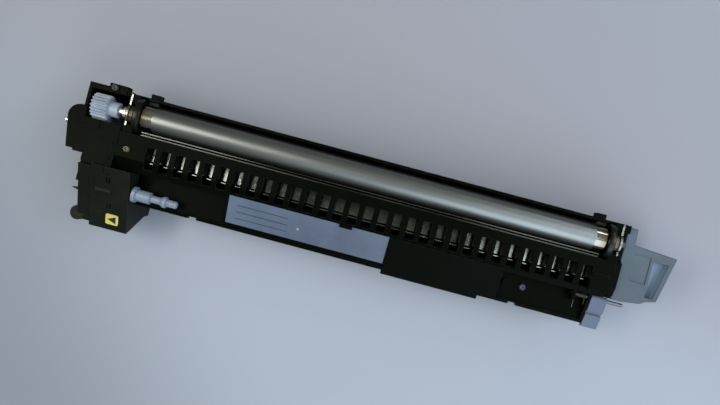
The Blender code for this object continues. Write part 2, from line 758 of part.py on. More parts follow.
def cover_section():
    """The bent roof: flat over the slots, a step, the front slope and its lip."""
    step_in = COVER_STEP_Y + COVER_WALL
    lip_in = FRONT_Y + COVER_WALL
    return [
        (COVER_BACK_Y, COVER_TOP),
        (COVER_BEND_Y, COVER_TOP),
        (COVER_STEP_Y, COVER_STEP_Z),
        (COVER_STEP_Y, SLOPE_TOP_Z),
        (FRONT_Y, SLOPE_FRONT_Z),
        (FRONT_Y, LEDGE_Z + GAP),
        (lip_in, LEDGE_Z + GAP),
        (lip_in, slope_z(lip_in, -COVER_WALL)),
        (step_in, slope_z(step_in, -COVER_WALL)),
        (step_in, COVER_STEP_Z - COVER_WALL / 2),
        (COVER_BEND_Y, COVER_TOP - COVER_WALL),
        (COVER_BACK_Y, COVER_TOP - COVER_WALL),
    ]


def cover_slots():
    """The cutter with a box for each slot, and the walls that hang between the slots."""
    slots_x = [SLOT_ROW_X + x for x in spread(SLOT_COUNT, SLOT_PITCH)]
    walls_x = [SLOT_ROW_X + x for x in spread(SLOT_COUNT + 1, SLOT_PITCH)]
    slots = boxes(
        "slots",
        [
            (
                (x - SLOT_WIDTH / 2, x + SLOT_WIDTH / 2),
                (SLOT_FRONT_Y, SLOT_BACK_Y),
                (SLOPE_TOP_Z, COVER_TOP + COVER_WALL),
            )
            for x in slots_x
        ],
    )
    roof = COVER_TOP - COVER_WALL
    front = SLOT_PLATE_FOLD_Y + SLOT_PLATE_THICKNESS
    foot = SLOT_PLATE_Z + SLOT_PLATE_THICKNESS + GAP
    walls = boxes(
        "slot_walls",
        [
            (
                (x - RIB / 2, x + RIB / 2),
                (front, COVER_BACK_Y - COVER_WALL / 2),
                (foot, roof + COVER_WALL / 2),
            )
            for x in walls_x
        ],
    )
    return slots, walls


def slotted_cover():
    cover = prism("slotted_cover", "X", [cover_section()], -OUTER_X, OUTER_X, BLACK)
    back = box(
        "cover_back",
        (-INNER_X + GAP, INNER_X - GAP),
        (COVER_BACK_Y - COVER_WALL, COVER_BACK_Y),
        (LEDGE_Z, COVER_TOP - COVER_WALL / 2),
    )
    ledge = box(
        "blade_ledge",
        (-BLADE_LENGTH / 2, BLADE_LENGTH / 2),
        (COVER_BACK_Y - COVER_WALL / 2, BLADE_Y[1]),
        (LEDGE_Z, SHEET_FOOT_Z - GAP),
    )
    half = COVER_WALL / 2
    under_slope = [
        (FRONT_Y + half, LEDGE_Z + GAP),
        (FRONT_Y + half, slope_z(FRONT_Y + half, -half)),
        (COVER_STEP_Y + half, slope_z(COVER_STEP_Y + half, -half)),
        (COVER_STEP_Y + half, LEDGE_Z + GAP),
    ]
    left_tray = prism("left_tray", "X", [under_slope], LEFT_TRAY[0], LEFT_TRAY[1] + COVER_WALL)
    right_tray = prism(
        "right_tray", "X", [under_slope], RIGHT_TRAY[0] - COVER_WALL, RIGHT_TRAY[1] + COVER_WALL
    )
    pad_top = COVER_TOP + END_PAD_RISE
    pad_section = [
        (END_PAD_BACK_Y, COVER_TOP - half),
        (END_PAD_BACK_Y, pad_top),
        (COVER_STEP_Y + GAP, pad_top),
        (COVER_STEP_Y + GAP, COVER_STEP_Z - GAP),
        (COVER_STEP_Y + COVER_WALL * 0.7, COVER_STEP_Z - GAP),
        (COVER_BEND_Y, COVER_TOP - half),
    ]
    pad = prism("end_pad", "X", [pad_section], *END_PAD_X)
    hook_z = slope_z(COVER_STEP_Y, NOTE_PLATE_THICKNESS + 2 * GAP)
    hook = box(
        "plate_hook",
        HOOK_X,
        (NOTE_PLATE_Y[1] - HOOK_REACH, COVER_STEP_Y + COVER_WALL * 0.7),
        (hook_z, hook_z + HOOK_THICKNESS),
    )
    slots, walls = cover_slots()
    join(cover, back, ledge, left_tray, right_tray, pad, hook, walls)
    floor = LEDGE_Z + GAP + TRAY_FLOOR
    pocket_y = (TRAY_FRONT_Y, TRAY_BACK_Y)
    corner_y = (FRONT_Y - WALL, CORNER_Y)
    cutters = [
        box("block_corner", (-OUTER_X - WALL, BLOCK_RIGHT_X + GAP), corner_y, (0, COVER_TOP)),
        box("lever_corner", (RIGHT_TRAY[1] + COVER_WALL, OUTER_X + WALL), corner_y, (0, COVER_TOP)),
        box("left_pocket", (LEFT_TRAY[0] - COVER_WALL, LEFT_TRAY[1]), pocket_y, (floor, COVER_TOP)),
        box("right_pocket", RIGHT_TRAY, pocket_y, (floor, COVER_TOP)),
    ]
    cut(cover, slots, *cutters, edge_notches("cover_notches"))
    pin_rib = box(
        "pin_rib",
        (PIN_RIB_X - COVER_WALL, PIN_RIB_X),
        (LEVER_PIN_Y - PIN_RIB_DEPTH, TRAY_BACK_Y + half),
        (floor - TRAY_FLOOR / 2, slope_z(LEVER_PIN_Y)),
    )
    boss_length = BOSS_HEIGHT + TRAY_FLOOR / 2
    boss = cylinder(
        "tray_boss",
        "Z",
        (TRAY_BOSS_X, TRAY_SCREW[1], floor + BOSS_HEIGHT - boss_length / 2),
        BOSS_R,
        boss_length,
        segments=16,
    )
    join(cover, pin_rib, boss)
    pin_bore = cylinder(
        "pin_bore",
        "X",
        ((RIGHT_TRAY[1] + PIN_RIB_X) / 2, LEVER_PIN_Y, LEVER_PIN_Z),
        LEVER_PIN_R + RUNNING,
        RIGHT_TRAY[1] - PIN_RIB_X + 4 * COVER_WALL,
        segments=16,
    )
    tray_hole = cylinder(
        "tray_screw_hole", "Z", (*TRAY_SCREW, floor), SCREW_HOLE_R, 4 * COVER_WALL, segments=16
    )
    return cut(cover, pin_bore, tray_hole, cover_screw_hole("roof_hole"))


def slot_plate():
    """The bent sheet under the slots, whose front lip turns up."""
    back = COVER_BACK_Y - COVER_WALL - GAP
    fold = SLOT_PLATE_FOLD_Y
    rise = SLOT_PLATE_LIP
    t = SLOT_PLATE_THICKNESS
    z = SLOT_PLATE_Z
    outline = [
        (back, z),
        (back, z + t),
        (fold + t / 2, z + t),
        (fold - rise / 2 + t, z + rise),
        (fold - rise / 2, z + rise),
        (fold, z),
    ]
    length = SLOT_COUNT * SLOT_PITCH + SLOT_WIDTH
    return prism("slot_plate", "X", [outline], SLOT_ROW_X - length / 2, SLOT_ROW_X + length / 2, STEEL)


def trimmer():
    half = BLADE_LENGTH / 2 - GAP
    box("trimmer_backing_plate", (-half, half), BACKING_Y, (SHEET_FOOT_Z, BACKING_TOP), STEEL)
    box("trimmer_blade", (-half, half), BLADE_Y, (SHEET_FOOT_Z, BLADE_TOP), STEEL)


def roller():
    """The rotating sleeve on its two flanges, round the fixed magnet core."""
    tube_in = SLEEVE_R - SLEEVE_WALL
    plug_r = tube_in - RUNNING
    plug_x = HALF_SLEEVE - FLANGE_PLUG
    bore = MAGNET_SHAFT_R + RUNNING
    y, z = SLEEVE_Y, SLEEVE_Z
    sleeve = turned(
        "developing_sleeve", ring(-HALF_SLEEVE, HALF_SLEEVE, tube_in, SLEEVE_R), y, z, BLASTED, 32
    )
    blind = plug_x + FLANGE_PLUG * 0.6
    drive = [
        (GEAR_FACE_X - GAP, 0),
        (GEAR_FACE_X - GAP, DRIVE_SHAFT_R),
        (-BEARING_X[1] - GAP, DRIVE_SHAFT_R),
        (-BEARING_X[1] - GAP, JOURNAL_R),
        (-HALF_SLEEVE, JOURNAL_R),
        (-HALF_SLEEVE, plug_r),
        (-plug_x, plug_r),
        (-plug_x, bore),
        (-blind, bore),
        (-blind, 0),
    ]
    drive_shaft = turned("sleeve_drive_shaft", drive, y, z, STEEL)
    journal_end = OUTER_X - GAP
    end = [
        (plug_x, bore),
        (journal_end, bore),
        (journal_end, JOURNAL_R),
        (HALF_SLEEVE, JOURNAL_R),
        (HALF_SLEEVE, plug_r),
        (plug_x, plug_r),
    ]
    end_flange = turned("sleeve_end_flange", end, y, z, STEEL)
    magnet_end = HALF_SLEEVE - MAGNET_END_GAP
    core = turned(
        "magnet_core",
        stepped(
            [
                (-blind + GAP, -magnet_end, MAGNET_SHAFT_R),
                (-magnet_end, magnet_end, tube_in - MAGNET_AIR_GAP),
                (magnet_end, PLATE_X + PLATE_THICKNESS - GAP, MAGNET_SHAFT_R),
            ]
        ),
        y,
        z,
        MAGNET,
    )
    flat = box(
        "magnet_flat",
        (PLATE_X - GAP, HANDLE_X),
        (y - SLEEVE_R, y + SLEEVE_R),
        (z + MAGNET_SHAFT_R * 0.6, z + SLEEVE_R),
    )
    cut(core, flat)
    rollers = {}
    for side, name in ((-1, "left"), (1, "right")):
        low, high = sorted((side * ROLLER_X[0], side * ROLLER_X[1]))
        chamfer = TRACKING_WIDTH / 8
        profile = [
            (low, JOURNAL_R + RUNNING),
            (high, JOURNAL_R + RUNNING),
            (high, TRACKING_R - chamfer),
            (high - chamfer, TRACKING_R),
            (low + chamfer, TRACKING_R),
            (low, TRACKING_R - chamfer),
        ]
        rollers[name] = turned(f"{name}_tracking_roller", profile, y, z, BLACK, 32)
        low, high = sorted((side * BEARING_X[0], side * BEARING_X[1]))
        turned(f"{name}_bearing", ring(low, high, JOURNAL_R + RUNNING, BEARING_R), y, z, BRASS)
        bearing_clip(f"{name}_bearing_clip", side)
        low, high = sorted((side * (HALF_SLEEVE - SEAL_WIDTH), side * HALF_SLEEVE))
        seal = arc((y, z), SLEEVE_R + GAP, -62, -5, 8) + arc((y, z), CRADLE_R - GAP, -5, -62, 8)
        prism(f"{name}_side_seal", "X", [seal], low, high, FELT)
    collar_x = -OUTER_X - GAP
    collar = turned(
        "shaft_collar",
        ring(collar_x - COLLAR_WIDTH, collar_x, DRIVE_SHAFT_R + RUNNING, COLLAR_R),
        y,
        z,
        STEEL,
    )
    return sleeve, drive_shaft, end_flange, collar, rollers


def bearing_clip(name, side):
    """A spring strip that lies on both sides of the saddle and bows over the bearing."""
    inner = BEARING_R + GAP
    outer = inner + CLIP_THICKNESS
    low = END_WALL_TOP + GAP
    top = low + CLIP_THICKNESS
    inner_turn = math.degrees(math.asin((low - SLEEVE_Z) / inner))
    outer_turn = math.degrees(math.asin((top - SLEEVE_Z) / outer))
    centre = (SLEEVE_Y, SLEEVE_Z)
    outline = [(CLIP_Y[0], top), (CLIP_Y[0], low)]
    outline += arc(centre, inner, 180 - inner_turn, inner_turn, 8)
    outline += [(CLIP_Y[1], low), (CLIP_Y[1], top)]
    outline += arc(centre, outer, outer_turn, 180 - outer_turn, 8)
    x = side * CLIP_X
    return prism(name, "X", [outline], x - CLIP_WIDTH / 2, x + CLIP_WIDTH / 2, STEEL)


def involute(angle):
    return math.tan(angle) - angle


def gear_outline(centre, teeth, phase):
    """An involute gear's outline in Y and Z, with one tooth centred on the phase angle (radians)."""
    pitch_r = MODULE * teeth / 2
    base_r = pitch_r * math.cos(PRESSURE_ANGLE)
    tip_r = pitch_r + MODULE
    root_r = pitch_r - 1.25 * MODULE
    half_tooth = (math.pi * MODULE / 2 - BACKLASH) / 2 / pitch_r
    start_r = max(base_r, root_r)
    flank = []
    for i in range(FLANK_POINTS):
        r = start_r + (tip_r - start_r) * i / (FLANK_POINTS - 1)
        turn = half_tooth + involute(PRESSURE_ANGLE) - involute(math.acos(min(1, base_r / r)))
        flank.append((r, turn))
    if start_r > root_r:
        flank.insert(0, (root_r, flank[0][1]))
    outline = []
    for tooth in range(teeth):
        middle = phase + 2 * math.pi * tooth / teeth
        for r, turn in flank:
            outline.append((r, middle - turn))
        for r, turn in reversed(flank):
            outline.append((r, middle + turn))
    return [(centre[0] + r * math.cos(a), centre[1] + r * math.sin(a)) for r, a in outline]


def meshed_phase(driver, driver_teeth, driver_phase, driven, driven_teeth):
    """The phase that puts a gap of the driven gear where the driver's tooth points at it."""
    towards = math.atan2(driven[1] - driver[1], driven[0] - driver[0])
    offset = (towards - driver_phase) * driver_teeth / (2 * math.pi)
    part = offset - math.floor(offset)
    return towards + math.pi + (part - 0.5) * 2 * math.pi / driven_teeth


def idler_centre():
    """The idler's place in front of the line between the sleeve gear and the supply gear."""
    to_sleeve = MODULE * (SLEEVE_TEETH + IDLER_TEETH) / 2
    to_supply = MODULE * (IDLER_TEETH + AUGER_TEETH) / 2
    dy = AUGER_Y - SLEEVE_Y
    dz = AUGER_Z - SLEEVE_Z
    apart = math.hypot(dy, dz)
    along = (to_sleeve**2 - to_supply**2 + apart**2) / (2 * apart)
    aside = math.sqrt(to_sleeve**2 - along**2)
    return (
        SLEEVE_Y + (dy * along + dz * aside) / apart,
        SLEEVE_Z + (dz * along - dy * aside) / apart,
    )


def gear(name, centre, teeth, phase, width, bore, material):
    outlines = [gear_outline(centre, teeth, phase), circle(centre, bore)]
    return prism(name, "X", outlines, GEAR_FACE_X, GEAR_FACE_X + width, material)


def gear_train():
    sleeve_at = (SLEEVE_Y, SLEEVE_Z)
    supply_at = (AUGER_Y, AUGER_Z)
    mixing_at = (-AUGER_Y, AUGER_Z)
    idler_at = idler_centre()
    idler_phase = meshed_phase(sleeve_at, SLEEVE_TEETH, 0, idler_at, IDLER_TEETH)
    supply_phase = meshed_phase(idler_at, IDLER_TEETH, idler_phase, supply_at, AUGER_TEETH)
    mixing_phase = meshed_phase(supply_at, AUGER_TEETH, supply_phase, mixing_at, AUGER_TEETH)
    driven = gear(
        "sleeve_gear", sleeve_at, SLEEVE_TEETH, 0, SLEEVE_GEAR_WIDTH, DRIVE_SHAFT_R + RUNNING, WHITE
    )
    hub_x = GEAR_FACE_X + SLEEVE_GEAR_WIDTH
    overlap = HUB_LENGTH / 8
    hub = prism(
        "gear_hub",
        "X",
        [circle(sleeve_at, HUB_R), circle(sleeve_at, DRIVE_SHAFT_R + 2 * RUNNING)],
        hub_x - overlap,
        hub_x + HUB_LENGTH,
    )
    join(driven, hub)
    idler = gear("idler_gear", idler_at, IDLER_TEETH, idler_phase, IDLER_WIDTH, IDLER_PIN_R + RUNNING, WHITE)
    bore = AUGER_SHAFT_R + RUNNING
    supply = gear("supply_auger_gear", supply_at, AUGER_TEETH, supply_phase, AUGER_GEAR_WIDTH, bore, WHITE)
    mixing = gear("mixing_auger_gear", mixing_at, AUGER_TEETH, mixing_phase, AUGER_GEAR_WIDTH, bore, WHITE)
    tip = PIN_TIP / 4
    pin = [
        (NOSE_LEFT_X - PIN_TIP, 0),
        (NOSE_LEFT_X - PIN_TIP, IDLER_PIN_R - tip),
        (NOSE_LEFT_X - PIN_TIP + tip, IDLER_PIN_R),
        (-OUTER_X - GAP, IDLER_PIN_R),
        (-OUTER_X - GAP, 0),
    ]
    turned("idler_pin", pin, *idler_at, STEEL, 16)
    return driven, idler, supply, mixing


def auger(name, y):
    """A shaft with a helical blade, made by turning a blade section along X."""
    half = AUGER_BLADE / 2
    root = AUGER_SHAFT_R * 0.8
    section = [(-half, root), (half, root), (half * 0.7, AUGER_BLADE_R), (-half * 0.7, AUGER_BLADE_R)]
    mesh = bpy.data.meshes.new(name + "_blade")
    mesh.from_pydata([(x, r, 0) for x, r in section], [(i, (i + 1) % 4) for i in range(4)], [])
    strip = bpy.data.objects.new(name + "_strip", mesh)
    UNIT.objects.link(strip)
    helix = strip.modifiers.new("Helix", "SCREW")
    helix.axis = "X"
    helix.angle = 2 * math.pi
    helix.screw_offset = AUGER_PITCH
    helix.iterations = AUGER_TURNS
    helix.steps = helix.render_steps = AUGER_STEPS
    helix.use_merge_vertices = False
    graph = bpy.context.evaluated_depsgraph_get()
    wound = bpy.data.meshes.new_from_object(strip.evaluated_get(graph))
    shape = bmesh.new()
    shape.from_mesh(wound)
    bmesh.ops.holes_fill(shape, edges=[edge for edge in shape.edges if edge.is_boundary], sides=4)
    bmesh.ops.recalc_face_normals(shape, faces=shape.faces)
    shape.to_mesh(wound)
    shape.free()
    bpy.data.objects.remove(strip, do_unlink=True)
    blade = finished(bpy.data.objects.new(name + "_blade", wound), BLACK)
    blade.location = (-AUGER_PITCH * AUGER_TURNS / 2, y, AUGER_Z)
    blade.rotation_euler = (math.pi / AUGER_STEPS, 0, 0)
    left = GEAR_FACE_X - GAP
    right = OUTER_X - GAP
    shaft = turned(name, stepped([(left, right, AUGER_SHAFT_R)]), y, AUGER_Z, BLACK, AUGER_STEPS)
    return join(shaft, blade)


def augers():
    pieces = {}
    for name, y in (("supply", AUGER_Y), ("mixing", -AUGER_Y)):
        pieces[name] = auger(f"{name}_auger", y)
        for side, end in ((-1, "left"), (1, "right")):
            low, high = sorted((side * (INNER_X - GAP), side * OUTER_X))
            inner = side * (INNER_X - GAP)
            flange = side * (INNER_X - GAP - BUSH_FLANGE)
            bore = AUGER_SHAFT_R + RUNNING
            profile = [
                (flange, bore),
                (side * OUTER_X, bore),
                (side * OUTER_X, BUSH_R),
                (inner, BUSH_R),
                (inner, BUSH_FLANGE_R),
                (flange, BUSH_FLANGE_R),
            ]
            turned(f"{name}_bush_{end}", profile, y, AUGER_Z, BRASS, 20)
    return pieces


def case_outline():
    """The gear case's outer shape in Y and Z; it clears both auger gears and the sleeve gear."""
    gear_r = MODULE * (AUGER_TEETH + 2) / 2
    side = AUGER_Y + gear_r + CASE_CLEARANCE + CASE_WALL
    low_side = side - 0.55 * gear_r
    return [
        (CASE_BACK_Y, CASE_TOP - CASE_STEP),
        (CASE_BACK_Y, SLEEVE_Z - SLEEVE_R),
        (side, AUGER_Z + CHANNEL_R / 2),
        (side, AUGER_Z - CHANNEL_R / 2),
        (low_side, CASE_FLOOR),
        (-low_side, CASE_FLOOR),
        (-side, AUGER_Z - CHANNEL_R / 2),
        (-side, CASE_SHELF_Z),
        (CASE_CORNER[1], CASE_SHELF_Z),
        (CASE_CORNER[1], CASE_TOP),
        (CASE_OPEN_Y[0], CASE_TOP),
        (CASE_OPEN_Y[0], CASE_TOP - CASE_STEP),
    ]


def nose_outline(root, wall):
    """The nose's plan, which starts so far inside the case's end wall; a wall moves it inwards."""
    front, back = CASE_NOSE_Y[0] + wall, CASE_NOSE_Y[1] - wall
    centre = (NOSE_LEFT_X + NOSE_CORNER_R, CASE_NOSE_Y[1] - NOSE_CORNER_R)
    corner = arc(centre, NOSE_CORNER_R - wall, 90, 180, 6)
    root_x = CASE_LEFT_X + root
    return [(root_x, back), *corner, (NOSE_LEFT_X + NOSE_TAPER + wall, front), (root_x, front)]


def gear_case():
    outline = case_outline()
    right = -OUTER_X - GAP
    case = prism("gear_case", "X", [outline], CASE_LEFT_X, right, BLACK)
    nose_z = (AUGER_Z + CHANNEL_R, CASE_TOP - CASE_STEP)
    nose = prism("case_nose", "Z", [nose_outline(CASE_WALL / 2, 0)], *nose_z)
    lug = box("case_lug", CASE_LUG_X, CASE_LUG_Y, (CASE_TOP - CASE_LUG_DEPTH, CASE_TOP))
    panel = box(
        "case_panel",
        (CASE_LUG_X[0] + CASE_WALL, CASE_LUG_X[1]),
        CASE_PANEL_Y,
        (CASE_TOP - CASE_WALL / 2, CASE_TOP + CASE_STEP / 2),
    )
    ridge = box(
        "case_ridge",
        (CASE_LEFT_X + GAP, CASE_LUG_X[0]),
        (CASE_RIDGE_Y, CASE_OPEN_Y[0] - GAP),
        (CASE_TOP - CASE_WALL / 2, CASE_TOP + CASE_STEP),
    )
    front = box(
        "case_front",
        (CASE_LEFT_X + CASE_CORNER[0], right),
        (CASE_FRONT_Y, CASE_CORNER[1] + CASE_WALL / 2),
        (CASE_SHELF_Z - CASE_WALL / 2, CASE_TOP),
    )
    join(case, nose, lug, panel, ridge, front)
    nose_inside = nose_outline(-CASE_WALL / 4, CASE_WALL)
    nose_hollow = prism("nose_hollow", "Z", [nose_inside], AUGER_Z, nose_z[1] - CASE_WALL)
    hollow = prism(
        "case_hollow", "X", [inset(outline, CASE_WALL)], CASE_LEFT_X + CASE_WALL, right + CASE_WALL
    )
    mouth = box(
        "case_mouth",
        (CASE_LEFT_X + CASE_WALL, right + CASE_WALL),
        CASE_OPEN_Y,
        (SLEEVE_Z, CASE_TOP + CASE_WALL),
    )
    pin_hole = cylinder(
        "pin_hole",
        "X",
        (CASE_LEFT_X, *idler_centre()),
        IDLER_PIN_R + RUNNING,
        4 * NOSE_REACH,
        segments=16,
    )
    screw_hole = cylinder(
        "lug_screw_hole", "Z", (*CASE_SCREW, CASE_TOP), SCREW_HOLE_R, 2 * SCREW_LENGTH + CASE_WALL, segments=16
    )
    return cut(case, hollow, nose_hollow, mouth, pin_hole, screw_hole)


def block_outline():
    """The inlet block's side view: sloping roof, leaning front and the shelf over the gear case."""
    return [
        (CASE_FRONT_Y - GAP, BLOCK_TOP),
        BLOCK_NOSE,
        BLOCK_CHIN,
        (BLOCK_FOOT_Y, 0),
        (BLOCK_BACK_Y, 0),
        (BLOCK_BACK_Y, CASE_SHELF_Z + GAP),
        (CASE_FRONT_Y - GAP, CASE_SHELF_Z + GAP),
    ]


def leaning(distance_in):
    """A frame inside the block's leaning front: X as the unit's, Y up along the face, Z out of it."""
    along = (BLOCK_NOSE[0] - BLOCK_CHIN[0], BLOCK_NOSE[1] - BLOCK_CHIN[1])
    length = math.hypot(*along)
    up = (along[0] / length, along[1] / length)
    middle_y = (BLOCK_NOSE[0] + BLOCK_CHIN[0]) / 2 + up[1] * distance_in
    middle_z = (BLOCK_NOSE[1] + BLOCK_CHIN[1]) / 2 - up[0] * distance_in
    return Matrix(
        ((1, 0, 0, 0), (0, up[0], -up[1], middle_y), (0, up[1], up[0], middle_z), (0, 0, 0, 1))
    )


def inlet_block():
    outline = block_outline()
    block = prism("inlet_block", "X", [outline], BLOCK_SEAM_X, BLOCK_RIGHT_X, BLACK)
    side = prism(
        "block_side", "X", [inset(outline, BLOCK_STEP)], BLOCK_LEFT_X, BLOCK_SEAM_X + BLOCK_WALL / 4
    )
    spout = box(
        "block_spout",
        (THROAT_X[0] - BLOCK_WALL, BLOCK_RIGHT_X - GAP),
        (BLOCK_BACK_Y - BLOCK_WALL / 2, FRONT_WALL_Y - GAP),
        (THROAT_Z[0] - BLOCK_WALL, THROAT_Z[1] + BLOCK_WALL),
    )
    round_lug = cylinder(
        "round_lug", "Z", (BLOCK_LEFT_X, *ROUND_LUG), ROUND_LUG_R, BLOCK_WALL * 3, segments=20
    )
    pointed = prism(
        "pointed_lug",
        "Z",
        [
            [
                (BLOCK_LEFT_X + BLOCK_STEP, POINTED_LUG_Y[0]),
                (BLOCK_LEFT_X + BLOCK_STEP, POINTED_LUG_Y[1]),
                (BLOCK_LEFT_X - POINTED_LUG_REACH, (POINTED_LUG_Y[0] + POINTED_LUG_Y[1]) / 2),
            ]
        ],
        *POINTED_LUG_Z,
    )
    back_y = CASE_FRONT_Y - GAP - BLOCK_STEP
    under = BLOCK_STEP + BLOCK_WALL / 2
    shoulder_line = [(back_y, GAP), (SHOULDER_Y, GAP), (SHOULDER_Y, under), (back_y, under)]
    shoulder = prism(
        "side_shoulder",
        "X",
        [[(y, roof_z(y) - down) for y, down in shoulder_line]],
        BLOCK_LEFT_X + BLOCK_WALL / 4,
        BLOCK_SEAM_X + BLOCK_WALL / 4,
    )
    swell_x, swell_y, swell_length, swell_r = BLOCK_SWELL
    swell = cylinder("roof_swell", "X", (0, 0, 0), swell_r, swell_length, segments=20)
    swell_turn = swell.rotation_euler.to_matrix().to_4x4()
    swell.matrix_world = on_roof(swell_x, swell_y, SWELL_RISE - swell_r) @ swell_turn
    join(block, side, spout, round_lug, pointed, shoulder, swell)
    hollow = prism(
        "block_hollow",
        "X",
        [inset(outline, BLOCK_WALL)],
        BLOCK_SEAM_X + BLOCK_WALL,
        BLOCK_RIGHT_X - BLOCK_WALL,
    )
    side_hollow = prism(
        "side_hollow",
        "X",
        [inset(outline, BLOCK_WALL + BLOCK_STEP)],
        BLOCK_LEFT_X + BLOCK_WALL,
        BLOCK_SEAM_X + 1.5 * BLOCK_WALL,
    )
    throat = box(
        "spout_bore",
        THROAT_X,
        (BLOCK_BACK_Y - 2 * BLOCK_WALL, FRONT_WALL_Y + BLOCK_WALL),
        THROAT_Z,
    )
    mouth = box(
        "mouth",
        MOUTH_X,
        (-MOUTH_HEIGHT / 2, MOUTH_HEIGHT / 2),
        (-2 * BLOCK_WALL, BLOCK_WALL),
    )
    mouth.matrix_world = leaning(0)
    rod_hole = cylinder(
        "rod_hole",
        "X",
        (BLOCK_RIGHT_X, ROD_Y, ROD_Z),
        ROD_STEM_R + RUNNING,
        4 * BLOCK_WALL,
    )
    return cut(block, hollow, side_hollow, throat, mouth, rod_hole, *roof_cuts())


def roof_cuts():
    """The square recess, the two pairs of slits and the grooves in the sloping roof."""
    x, y, width, depth = BLOCK_RECESS
    cutters = [sunk("roof_recess", x, y, width, depth, BLOCK_RECESS_DEPTH)]
    for i, (x, y) in enumerate(BLOCK_SLITS):
        for j, side in enumerate((-1, 1)):
            at = x + side * SLIT_SIZE[0]
            cutters.append(sunk(f"roof_slit_{i}_{j}", at, y, *SLIT_SIZE, 2 * BLOCK_WALL))
    for i, (x, y, width, depth) in enumerate(BLOCK_GROOVES):
        cutters.append(sunk(f"roof_groove_{i}", x, y, width, depth, BLOCK_RECESS_DEPTH / 2))
    return cutters


def sunk(name, x, y, width, depth, down):
    """A box that goes down into the sloping roof, across it and along it."""
    cutter = box(name, (-width / 2, width / 2), (-depth / 2, depth / 2), (-down, BLOCK_WALL))
    cutter.matrix_world = on_roof(x, y)
    return cutter


def roof_z(y):
    """Height of the block's sloping roof."""
    fall = (BLOCK_TOP - BLOCK_NOSE[1]) / (CASE_FRONT_Y - GAP - BLOCK_NOSE[0])
    return BLOCK_NOSE[1] + (y - BLOCK_NOSE[0]) * fall


def on_roof(inset_x, y, above=0.0):
    """A frame on the sloping roof, so far in from the block's right side and Z square to the roof."""
    tilt = math.atan2(BLOCK_TOP - BLOCK_NOSE[1], CASE_FRONT_Y - GAP - BLOCK_NOSE[0])
    place = Matrix.Translation((BLOCK_RIGHT_X - inset_x, y, roof_z(y)))
    return place @ Matrix.Rotation(tilt, 4, "X") @ Matrix.Translation((0, 0, above))


def direction_mark():
    """A thin square tile on the block's sloping roof."""
    width, depth = MARK_SIZE
    corner = width / 8
    outline = []
    for cx, cy, start in (
        (width / 2 - corner, depth / 2 - corner, 0),
        (-width / 2 + corner, depth / 2 - corner, 90),
        (-width / 2 + corner, -depth / 2 + corner, 180),
        (width / 2 - corner, -depth / 2 + corner, 270),
    ):
        outline += arc((cx, cy), corner, start, start + 90, 3)
    mark = prism("direction_mark", "Z", [outline], GAP, GAP + MARK_THICKNESS, YELLOW)
    mark.matrix_world = on_roof(*MARK_PLACE) @ mark.matrix_world
    return mark


def shutter():
    """The push rod, the plate that its arm carries across the inlet's mouth, and its spring."""
    stations = [BLOCK_RIGHT_X + ROD_STANDOFF]
    for length in ROD_LENGTHS:
        stations.append(stations[-1] + length)
    arm_x = (SHUTTER_X[1] - GAP - ARM_THICKNESS, SHUTTER_X[1] - GAP)
    rounded = ROD_NECK_R / 3
    profile = [
        (arm_x[0] - ARM_THICKNESS / 2, 0),
        (arm_x[0] - ARM_THICKNESS / 2, ROD_STEM_R),
        (stations[0], ROD_STEM_R),
        (stations[0], ROD_FLANGE_R),
        (stations[1], ROD_FLANGE_R),
        (stations[1], ROD_BARREL_R),
        (stations[2], ROD_BARREL_R),
        (stations[2], ROD_NECK_R),
        (stations[3], ROD_NECK_R),
        (stations[4], ROD_COLLAR_R),
        (stations[5], ROD_COLLAR_R),
        (stations[5], ROD_NECK_R),
        (stations[6] - rounded, ROD_NECK_R),
        (stations[6], ROD_NECK_R - rounded),
        (stations[6], 0),
    ]
    rod = turned("shutter_rod", profile, ROD_Y, ROD_Z, WHITE)
    slot_length, slot_width, slot_depth = ROD_SLOT
    slot_end = stations[6] - (ROD_LENGTHS[5] - slot_length) / 2
    slot = box(
        "rod_slot",
        (slot_end - slot_length, slot_end),
        (ROD_Y - slot_width / 2, ROD_Y + slot_width / 2),
        (ROD_Z + ROD_NECK_R - slot_depth, ROD_Z + ROD_BARREL_R),
    )
    cut(rod, slot)
    rod_at = (ROD_Y, ROD_Z)
    holder = leaning(SHUTTER_IN)
    reach = math.hypot(ARM_BEND[0] - ROD_Y, ARM_BEND[1] - ROD_Z)
    share = ARM_HUB_R * 0.85 / reach
    arm_from = [a + (b - a) * share for a, b in zip(rod_at, ARM_BEND)]
    path = [arm_from, ARM_BEND, (holder.translation.y, holder.translation.z)]
    arm = prism("shutter_arm", "X", [strip(path, ARM_WIDTH)], *arm_x)
    bore = circle(rod_at, ROD_STEM_R + RUNNING)
    hub = prism("arm_hub", "X", [circle(rod_at, ARM_HUB_R), bore], *arm_x)
    height = MOUTH_HEIGHT / 2 + SHUTTER_LAP
    thin = SHUTTER_THICKNESS / 2
    plate = box("inlet_shutter", SHUTTER_X, (-height, height), (-thin, thin), GREY)
    plate.matrix_world = holder
    join(plate, arm, hub)
    coil(
        "shutter_spring",
        (arm_x[1] + GAP + SPRING_WIRE_R, BLOCK_RIGHT_X - BLOCK_WALL - GAP - SPRING_WIRE_R),
        rod_at,
        ROD_STEM_R + GAP + SPRING_WIRE_R,
        SPRING_TURNS,
        [],
    )
    return rod, plate


